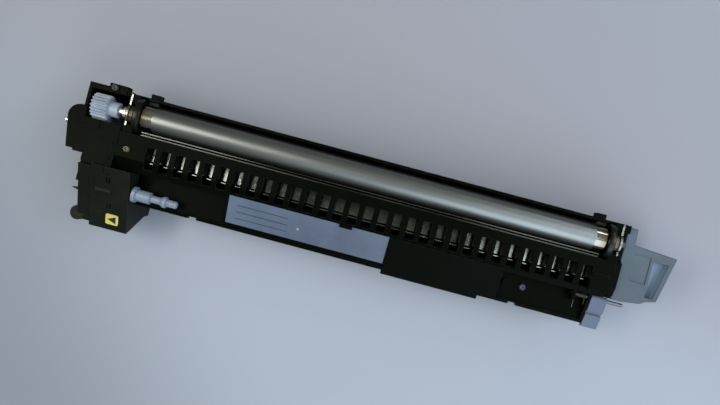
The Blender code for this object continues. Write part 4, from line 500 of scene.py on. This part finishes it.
def sleeve_finish(colours):
    """The sleeve: blasted over the printing width, with polished bands and stained rims."""
    tree, shader = new_finish("sleeve_metal", 0.45, metallic=1.0)
    place = object_place(tree)
    low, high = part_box("developing_sleeve")
    middle = (low.x + high.x) / 2
    half = (high.x - low.x) / 2
    from_middle = maths(tree, "SUBTRACT", split(tree, place)["X"], middle)
    from_end = maths(tree, "SUBTRACT", half, maths(tree, "ABSOLUTE", from_middle))
    matte = ramp(tree, from_end, BARE_END - BAND_BLUR, BARE_END + BAND_BLUR)
    stain = ramp(tree, from_end, BARE_END * 0.75, BARE_END * 0.1)
    blast = noise(tree, place, 3200.0, 3.0)
    lines = place_group(tree, "Turned lines", Rings=5200.0, Marks=420.0)
    grain = place_group(tree, "Moulded grain", Drift_Scale=9.0)
    sleeve = colours.sleeve
    body = blend(tree, lines["Tone"], shaded(sleeve, 0.93), shaded(sleeve, 1.06))
    drifted = blend(tree, product(tree, grain["Drift"], 0.2), body, shaded(sleeve, 1.15))
    bare = blend(tree, stain, shaded(colours.bare_metal), shaded(colours.stain))
    tree.links.new(blend(tree, matte, bare, drifted), shader.inputs["Base Color"])
    rough = total(tree, product(tree, matte, 0.25), 0.09)
    tree.links.new(total(tree, rough, product(tree, blast, 0.06)), shader.inputs["Roughness"])
    blasted = product(tree, blast, matte)
    height = total(tree, blasted, product(tree, lines["Height"], 0.4))
    emboss(tree, shader, height, 0.2, RING_DEPTH)


def slot_sheet_finish():
    """Bright rolled sheet with painted shade under the roof, which mirrors the room between the
    walls.
    """
    tree, shader = new_finish("slot_sheet", 0.16, metallic=1.0)
    lines = place_group(tree, "Turned lines", Rings=700.0, Marks=160.0)
    grain = place_group(tree, "Moulded grain", Scale=240.0, Drift_Scale=70.0)
    edge = place_group(tree, "Worn edge", Radius=0.0002)
    # Painted shade: the sheet grows darker under the cover's roof
    painted_shade = ramp(tree, split(tree, object_place(tree))["Y"], *SHEET_SHADE)
    rolled = blend(tree, grain["Drift"], shaded(SHEET_DARK), shaded(SHEET_BRIGHT))
    tone = blend(tree, painted_shade, rolled, shaded(SHEET_PAINTED_SHADE))
    rubbed = blend(tree, edge["Mask"], tone, shaded(SHEET_EDGE))
    tree.links.new(rubbed, shader.inputs["Base Color"])
    sheen = total(tree, product(tree, lines["Tone"], 0.10), 0.11)
    tree.links.new(sheen, shader.inputs["Roughness"])
    emboss(tree, shader, grain["Drift"], 0.3, SHEET_DEPTH, edge["Normal"])


def felt_finish():
    """Matted dark fibres."""
    tree, shader = new_finish("seal_felt", 0.95)
    fibres = noise(tree, object_place(tree), 2400.0, 6.0)
    tone = blend(tree, fibres, shaded(FELT_DARK), shaded(FELT_PALE))
    tree.links.new(tone, shader.inputs["Base Color"])
    emboss(tree, shader, fibres, 0.8, FELT_DEPTH)


def printed_film(name, colour, roughness):
    """Printed film or ink: slow drift, fine speckle and rubbed edges."""
    tree, shader = new_finish(name, roughness, coat=0.2)
    grain = place_group(tree, "Moulded grain", Scale=1500.0, Drift_Scale=120.0)
    edge = place_group(tree, "Worn edge", Radius=0.00012)
    tone = blend(tree, grain["Drift"], shaded(colour, 0.86), shaded(colour, 1.10))
    rubbed = blend(tree, product(tree, edge["Mask"], 0.4), tone, shaded(colour, 0.5))
    tree.links.new(rubbed, shader.inputs["Base Color"])
    emboss(tree, shader, grain["Height"], 0.12, FILM_DEPTH, edge["Normal"])


def floor_finish(colour):
    """Pale paper with painted shade: it darkens a little behind the unit and towards the left
    front corner.
    """
    tree, shader = new_finish("floor_sheet", 0.75)
    place = object_place(tree)
    slow = noise(tree, place, 3.0, 2.0)
    x, y = split(tree, place)[:2]
    # Painted shade: darker behind the unit and towards the left front corner
    corner = ramp(tree, total(tree, x, product(tree, y, CORNER_LEAN)), *CORNER_REACH)
    beyond = total(tree, y, product(tree, x, BEHIND_LEAN))
    behind = ramp(tree, beyond, *BEHIND_REACH, to_high=BEHIND_PAINTED_SHADE_SHARE)
    fading = ramp(tree, beyond, *BEHIND_END, to_low=1.0, to_high=BEHIND_REST)
    tone = blend(tree, slow, shaded(colour, 0.97), shaded(colour, 1.03))
    painted_shade = blend(tree, product(tree, behind, fading), tone, shaded(FLOOR_PAINTED_SHADE_BEHIND))
    dimmed = blend(tree, product(tree, corner, CORNER_PAINTED_SHADE_SHARE), painted_shade, shaded(FLOOR_PAINTED_SHADE_CORNER))
    tree.links.new(dimmed, shader.inputs["Base Color"])


# Mesh helpers


def linked(name, data):
    """An object with its data, linked to the scene."""
    obj = bpy.data.objects.new(name, data)
    bpy.context.scene.collection.objects.link(obj)
    return obj


def new_piece(name, mesh, material, body, *stands_for):
    """Links a fine piece, gives it its finish and lets it ride on a body."""
    obj = linked(name, mesh)
    obj.data.materials.append(bpy.data.materials[material])
    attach(obj, body)
    if stands_for:
        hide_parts(*stands_for)
    return obj


def finished_mesh(name, shape, sharp=None):
    """A mesh from a shape, facing outwards and, where an angle is given, smooth up to it."""
    bmesh.ops.recalc_face_normals(shape, faces=shape.faces)
    mesh = bpy.data.meshes.new(name)
    shape.to_mesh(mesh)
    shape.free()
    if sharp is not None:
        mesh.shade_smooth()
        mesh.set_sharp_from_angle(angle=math.radians(sharp))
    return mesh


def tilt_of(low, high, thickness):
    """The tilt about X of a thin plate, from the corners of its box."""
    return math.atan2(high.z - low.z - thickness, high.y - low.y)


def turned_mesh(name, profile, y, z, steps=96):
    """A closed profile of (x, radius) turned about the line along X through (y, z)."""
    shape = bmesh.new()
    turns = [2 * math.pi * i / steps for i in range(steps)]
    rings = [
        [
            shape.verts.new((x, y + radius * math.cos(turn), z + radius * math.sin(turn)))
            for turn in turns
        ]
        for x, radius in profile
    ]
    for first, second in zip(rings, rings[1:] + rings[:1]):
        for i in range(steps):
            j = (i + 1) % steps
            shape.faces.new((first[i], first[j], second[j], second[i]))
    return finished_mesh(name, shape, sharp=30)


def drawn_mesh(name, outline, thickness, matrix):
    """A flat outline of (x, y) points given a thickness and put in place."""
    shape = bmesh.new()
    low = [shape.verts.new(matrix @ Vector((x, y, 0))) for x, y in outline]
    high = [shape.verts.new(matrix @ Vector((x, y, thickness))) for x, y in outline]
    shape.faces.new(low[::-1])
    shape.faces.new(high)
    for i in range(len(outline)):
        j = (i + 1) % len(outline)
        shape.faces.new((low[i], low[j], high[j], high[i]))
    return finished_mesh(name, shape)


def wound_mesh(name, start, end, y, z, radius, wire, turns, per_turn=36, sides=10):
    """A round wire wound about the line along X through (y, z)."""
    shape = bmesh.new()
    steps = turns * per_turn
    rise = (end - start) / (2 * math.pi * turns * radius)
    section = [2 * math.pi * k / sides for k in range(sides)]
    rings = []
    for i in range(steps + 1):
        angle = 2 * math.pi * turns * i / steps
        outward = Vector((0, math.cos(angle), math.sin(angle)))
        along = Vector((rise, -math.sin(angle), math.cos(angle)))
        across = along.normalized().cross(outward)
        middle = Vector((start + (end - start) * i / steps, y, z)) + outward * radius
        ring = []
        for turn in section:
            reach = outward * math.cos(turn) + across * math.sin(turn)
            ring.append(shape.verts.new(middle + reach * wire))
        rings.append(ring)
    for first, second in zip(rings, rings[1:]):
        for k in range(sides):
            shape.faces.new((first[k], first[k - 1], second[k - 1], second[k]))
    shape.faces.new(rings[0])
    shape.faces.new(rings[-1][::-1])
    return finished_mesh(name, shape, sharp=60)


# Settings


class FinishColours(bpy.types.PropertyGroup):
    """Colours of the unit's finishes"""

    housing: FloatVectorProperty(
        name="Housing",
        description="Black moulded plastic",
        subtype="COLOR",
        default=(0.0009, 0.0019, 0.0008),
    )
    case: FloatVectorProperty(
        name="Inlet block",
        description="Black of the inlet block",
        subtype="COLOR",
        default=(0.0055, 0.0074, 0.0054),
    )
    gear_case: FloatVectorProperty(
        name="Gear case",
        description="Black of the gear case",
        subtype="COLOR",
        default=(0.0008, 0.0023, 0.0008),
    )
    magnet: FloatVectorProperty(
        name="Magnet",
        description="Bonded magnet inside the sleeve",
        subtype="COLOR",
        default=(0.05, 0.05, 0.055),
    )
    grey: FloatVectorProperty(
        name="Grey parts",
        description="Handle and its plate",
        subtype="COLOR",
        default=(0.054, 0.075, 0.100),
    )
    lever: FloatVectorProperty(
        name="Lever",
        description="Grey of the release lever",
        subtype="COLOR",
        default=(0.078, 0.101, 0.162),
    )
    plate: FloatVectorProperty(
        name="Note plate",
        description="Grey writing plate",
        subtype="COLOR",
        default=(0.080, 0.106, 0.168),
    )
    white: FloatVectorProperty(
        name="Gears",
        description="White acetal",
        subtype="COLOR",
        default=(0.27, 0.325, 0.41),
    )
    # Darker than the gears' white as painted shade
    rod: FloatVectorProperty(
        name="Rod",
        description="White acetal of the shutter rod",
        subtype="COLOR",
        default=(0.178, 0.218, 0.296),
    )
    sleeve: FloatVectorProperty(
        name="Sleeve",
        description="Blasted sleeve",
        subtype="COLOR",
        default=(0.196, 0.212, 0.214),
    )
    bare_metal: FloatVectorProperty(
        name="Bare metal",
        description="Polished band at the sleeve's ends",
        subtype="COLOR",
        default=(0.26, 0.26, 0.24),
    )
    stain: FloatVectorProperty(
        name="Stain",
        description="Stained rim at the sleeve's ends",
        subtype="COLOR",
        default=(0.19, 0.155, 0.10),
    )
    mark: FloatVectorProperty(
        name="Mark",
        description="Yellow film",
        subtype="COLOR",
        default=(0.55, 0.49, 0.11),
    )


class StageSettings(bpy.types.PropertyGroup):
    """Floor, light and camera"""

    floor_colour: FloatVectorProperty(
        name="Floor",
        description="Colour of the floor",
        subtype="COLOR",
        default=(0.328, 0.362, 0.435),
    )
    lamp_watts: FloatProperty(
        name="Lamps",
        description="Power that each lamp takes its share of",
        unit="POWER",
        default=12.0,
    )
    world_strength: FloatProperty(
        name="Sky",
        description="Strength of the even light",
        subtype="FACTOR",
        min=0.0,
        soft_max=1.0,
        default=0.36,
    )
    camera_height: FloatProperty(
        name="Camera height",
        description="Height over the floor",
        subtype="DISTANCE",
        default=0.460,
    )
    camera_turn: FloatProperty(
        name="Camera turn",
        description="Turn about the vertical",
        subtype="ANGLE",
        default=math.radians(14.92),
    )
    lens: FloatProperty(
        name="Lens",
        description="Focal length on a 36 mm wide sensor",
        unit="CAMERA",
        default=30.75,
    )


class PrintSettings(bpy.types.PropertyGroup):
    """Printed lines on the note plate and the mark"""

    lines: IntProperty(
        name="Lines",
        description="Writing lines on the note plate",
        default=3,
    )
    line_width: FloatProperty(
        name="Line width",
        description="Width of a writing line",
        subtype="DISTANCE",
        default=0.0005,
    )
    film: FloatProperty(
        name="Film",
        description="Thickness of the ink",
        subtype="DISTANCE",
        default=0.00004,
    )


# Operators


class UNIT_OT_finishes(bpy.types.Operator):
    """Build the shared effects and the materials, and give every node its own finish"""

    bl_idname = "developer_unit.finishes"
    bl_label = "Finishes"

    def execute(self, context):
        colours = context.scene.unit_colours
        moulded_grain_group()
        worn_edge_group()
        settled_dust_group()
        turned_lines_group()
        for name, (setting, *values) in MOULDINGS.items():
            moulded_plastic(name, getattr(colours, setting), *values)
        paint_pocket_light("handle_grey", shaded(colours.grey, POCKET_PAINTED_LIGHT))
        for name, values in METALS.items():
            worked_metal(name, *values)
        for name, values in INKS.items():
            printed_film(name, *values)
        printed_film("mark_film", colours.mark, 0.42)
        sleeve_finish(colours)
        slot_sheet_finish()
        felt_finish()
        for row in frame["record"]["subparts"]:
            finish = OWN_FINISHES.get(row["node"], SLOT_FINISHES[row["material_slot"]])
            materials = NODES[row["node"]].data.materials
            materials.clear()
            materials.append(bpy.data.materials[finish])
        return {"FINISHED"}


class UNIT_OT_roller(bpy.types.Operator):
    """Turn the sleeve and its tracking rollers smoothly in place of the coarse solids"""

    bl_idname = "developer_unit.roller"
    bl_label = "Roller"

    def execute(self, context):
        low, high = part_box("developing_sleeve")
        y, z = (low.y + high.y) / 2, (low.z + high.z) / 2
        outer = (high.y - low.y) / 2
        inner = outer - SLEEVE_WALL
        profile = [
            (low.x, inner),
            (high.x, inner),
            (high.x, outer - SLEEVE_LIP),
            (high.x - SLEEVE_LIP, outer),
            (high.x - BARE_END, outer),
            (low.x + BARE_END, outer),
            (low.x + SLEEVE_LIP, outer),
            (low.x, outer - SLEEVE_LIP),
        ]
        mesh = turned_mesh("sleeve_skin", profile, y, z, SLEEVE_STEPS)
        skin = new_piece("sleeve_skin", mesh, "sleeve_metal", "sleeve", "developing_sleeve")
        for side in ("left", "right"):
            node = f"{side}_tracking_roller"
            name = f"{side}_roller_tyre"
            low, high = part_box(node)
            outer = (high.y - low.y) / 2
            edge = TYRE_EDGE
            corner = edge * 0.3
            profile = [
                (low.x, TYRE_BORE),
                (high.x, TYRE_BORE),
                (high.x, outer - edge),
                (high.x - corner, outer - corner),
                (high.x - edge, outer),
                (low.x + edge, outer),
                (low.x + corner, outer - corner),
                (low.x, outer - edge),
            ]
            mesh = turned_mesh(name, profile, y, z)
            piece = new_piece(name, mesh, "roller_black", f"{side}_roller", node)
        return {"FINISHED"}


class UNIT_OT_spring(bpy.types.Operator):
    """Wind the shutter's spring at its rest length; the real spring shortens as the rod slides"""

    bl_idname = "developer_unit.spring"
    bl_label = "Spring"

    def execute(self, context):
        low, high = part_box("shutter_spring")
        y, z = (low.y + high.y) / 2, (low.z + high.z) / 2
        mesh = wound_mesh(
            "shutter_coil",
            low.x + SPRING_WIRE,
            high.x - SPRING_WIRE,
            y,
            z,
            (high.y - low.y) / 2 - SPRING_WIRE,
            SPRING_WIRE,
            SPRING_TURNS,
        )
        piece = new_piece("shutter_coil", mesh, "spring_wire", "base", "shutter_spring")
        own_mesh(piece)
        return {"FINISHED"}


class UNIT_OT_print(bpy.types.Operator):
    """Print the writing lines on the note plate and the triangle on the yellow mark"""

    bl_idname = "developer_unit.print"
    bl_label = "Print"

    def execute(self, context):
        settings = context.scene.unit_print
        low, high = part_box("note_plate")
        tilt = tilt_of(low, high, PLATE_THICKNESS)
        slope = Matrix.Rotation(tilt, 4, "X")

        def on_plate(from_left, from_back):
            z = high.z - from_back * math.tan(tilt) + INK_GAP
            place = (low.x + from_left, high.y - from_back, z)
            return Matrix.Translation(place) @ slope

        half = LINE_LENGTH / 2
        width = settings.line_width / 2
        outline = [(-half, -width), (half, -width), (half, width), (-half, width)]
        for i in range(settings.lines):
            name = f"note_line_{i}"
            place = on_plate(LINE_MIDDLE, LINE_FIRST + i * LINE_PITCH)
            mesh = drawn_mesh(name, outline, settings.film, place)
            new_piece(name, mesh, "line_ink", "base")
        turns = [2 * math.pi * i / DOT_CORNERS for i in range(DOT_CORNERS)]
        dot = [(DOT_RADIUS * math.cos(turn), DOT_RADIUS * math.sin(turn)) for turn in turns]
        mesh = drawn_mesh("note_dot", dot, DOT_THICKNESS, on_plate(*DOT_PLACE))
        new_piece("note_dot", mesh, "dot_paint", "base")

        low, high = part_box("direction_mark")
        tilt = tilt_of(low, high, MARK_THICKNESS)
        rise = Vector((0, -math.sin(tilt), math.cos(tilt))) * MARK_RISE
        place = Matrix.Translation((low + high) / 2 + rise) @ Matrix.Rotation(tilt, 4, "X")
        mesh = drawn_mesh("mark_triangle", TRIANGLE, settings.film, place)
        new_piece("mark_triangle", mesh, "black_ink", "base")
        return {"FINISHED"}


class UNIT_OT_stage(bpy.types.Operator):
    """Lay the pale floor, hang the soft light and set up the camera"""

    bl_idname = "developer_unit.stage"
    bl_label = "Stage"

    def execute(self, context):
        scene = context.scene
        settings = scene.unit_stage
        scene.view_settings.view_transform = "Standard"
        self.lay_floor(settings)
        self.hang_lamps(settings)
        scene.world = self.light_room(settings)
        scene.camera = self.set_camera(settings)
        return {"FINISHED"}

    def lay_floor(self, settings):
        """A flat sheet just under the unit."""
        mesh = bpy.data.meshes.new("floor")
        shape = bmesh.new()
        bmesh.ops.create_grid(shape, x_segments=8, y_segments=8, size=FLOOR_HALF)
        bmesh.ops.translate(shape, vec=(0, 0, CAD_BOX[0][2] - FLOOR_GAP), verts=shape.verts)
        shape.to_mesh(mesh)
        shape.free()
        floor = linked("floor", mesh)
        floor_finish(settings.floor_colour)
        floor.data.materials.append(bpy.data.materials["floor_sheet"])

    def hang_lamps(self, settings):
        """Soft lamps round the unit, all facing its middle."""
        for name, place, size, share, colour in LAMPS:
            data = bpy.data.lights.new(name, "AREA")
            data.shape = "ELLIPSE"
            data.size, data.size_y = size
            data.energy = settings.lamp_watts * share
            data.color = colour
            lamp = linked(name, data)
            lamp.location = place
            lamp.rotation_euler = Vector(place).to_track_quat("Z", "Y").to_euler()

    def light_room(self, settings):
        """Even light from the walls and the ceiling, dimmer low down and straight overhead."""
        world = bpy.data.worlds.new("even_light")
        world.use_nodes = True
        sky = world.node_tree
        background = sky.nodes["Background"]
        background.inputs["Color"].default_value = shaded(SKY)
        up = split(sky, add(sky, "ShaderNodeTexCoord").outputs["Generated"])["Z"]
        walls = ramp(sky, up, *WALL_REACH, to_low=WALL_FOOT)
        ceiling = ramp(sky, up, *OVERHEAD_REACH, to_low=1.0, to_high=OVERHEAD_SHARE)
        strength = product(sky, product(sky, walls, ceiling), settings.world_strength)
        sky.links.new(strength, background.inputs["Strength"])
        return world

    def set_camera(self, settings):
        """A camera that looks straight down."""
        lens = bpy.data.cameras.new("camera")
        lens.sensor_width = SENSOR_WIDTH
        lens.lens = settings.lens
        lens.shift_x = CAMERA_SHIFT[0] / PICTURE_WIDTH
        lens.shift_y = CAMERA_SHIFT[1] / PICTURE_WIDTH
        lens.clip_start = 0.01
        camera = linked("camera", lens)
        camera.location = (*CAMERA_PLACE, settings.camera_height)
        camera.rotation_euler = (0, 0, settings.camera_turn)
        return camera


class UNIT_PT_panel(bpy.types.Panel):
    """Lists the unit's steps and their settings"""

    bl_idname = "UNIT_PT_panel"
    bl_label = "Developer Unit"
    bl_space_type = "VIEW_3D"
    bl_region_type = "UI"
    bl_category = "Developer Unit"

    def draw(self, context):
        layout = self.layout
        for step in STEPS:
            layout.operator(step.bl_idname)
        scene = context.scene
        for group in (scene.unit_colours, scene.unit_print, scene.unit_stage):
            box = layout.box()
            for field in type(group).__annotations__:
                box.prop(group, field)


STEPS = (UNIT_OT_stage, UNIT_OT_finishes, UNIT_OT_roller, UNIT_OT_spring, UNIT_OT_print)
CLASSES = (FinishColours, StageSettings, PrintSettings, *STEPS, UNIT_PT_panel)


def register():
    for cls in CLASSES:
        bpy.utils.register_class(cls)
    bpy.types.Scene.unit_colours = PointerProperty(type=FinishColours)
    bpy.types.Scene.unit_stage = PointerProperty(type=StageSettings)
    bpy.types.Scene.unit_print = PointerProperty(type=PrintSettings)


def unregister():
    del bpy.types.Scene.unit_print
    del bpy.types.Scene.unit_stage
    del bpy.types.Scene.unit_colours
    for cls in reversed(CLASSES):
        bpy.utils.unregister_class(cls)


def main():
    register()
    bpy.ops.developer_unit.stage()
    bpy.ops.developer_unit.finishes()
    bpy.ops.developer_unit.roller()
    bpy.ops.developer_unit.spring()
    bpy.ops.developer_unit.print()


if __name__ == "__main__":
    main()
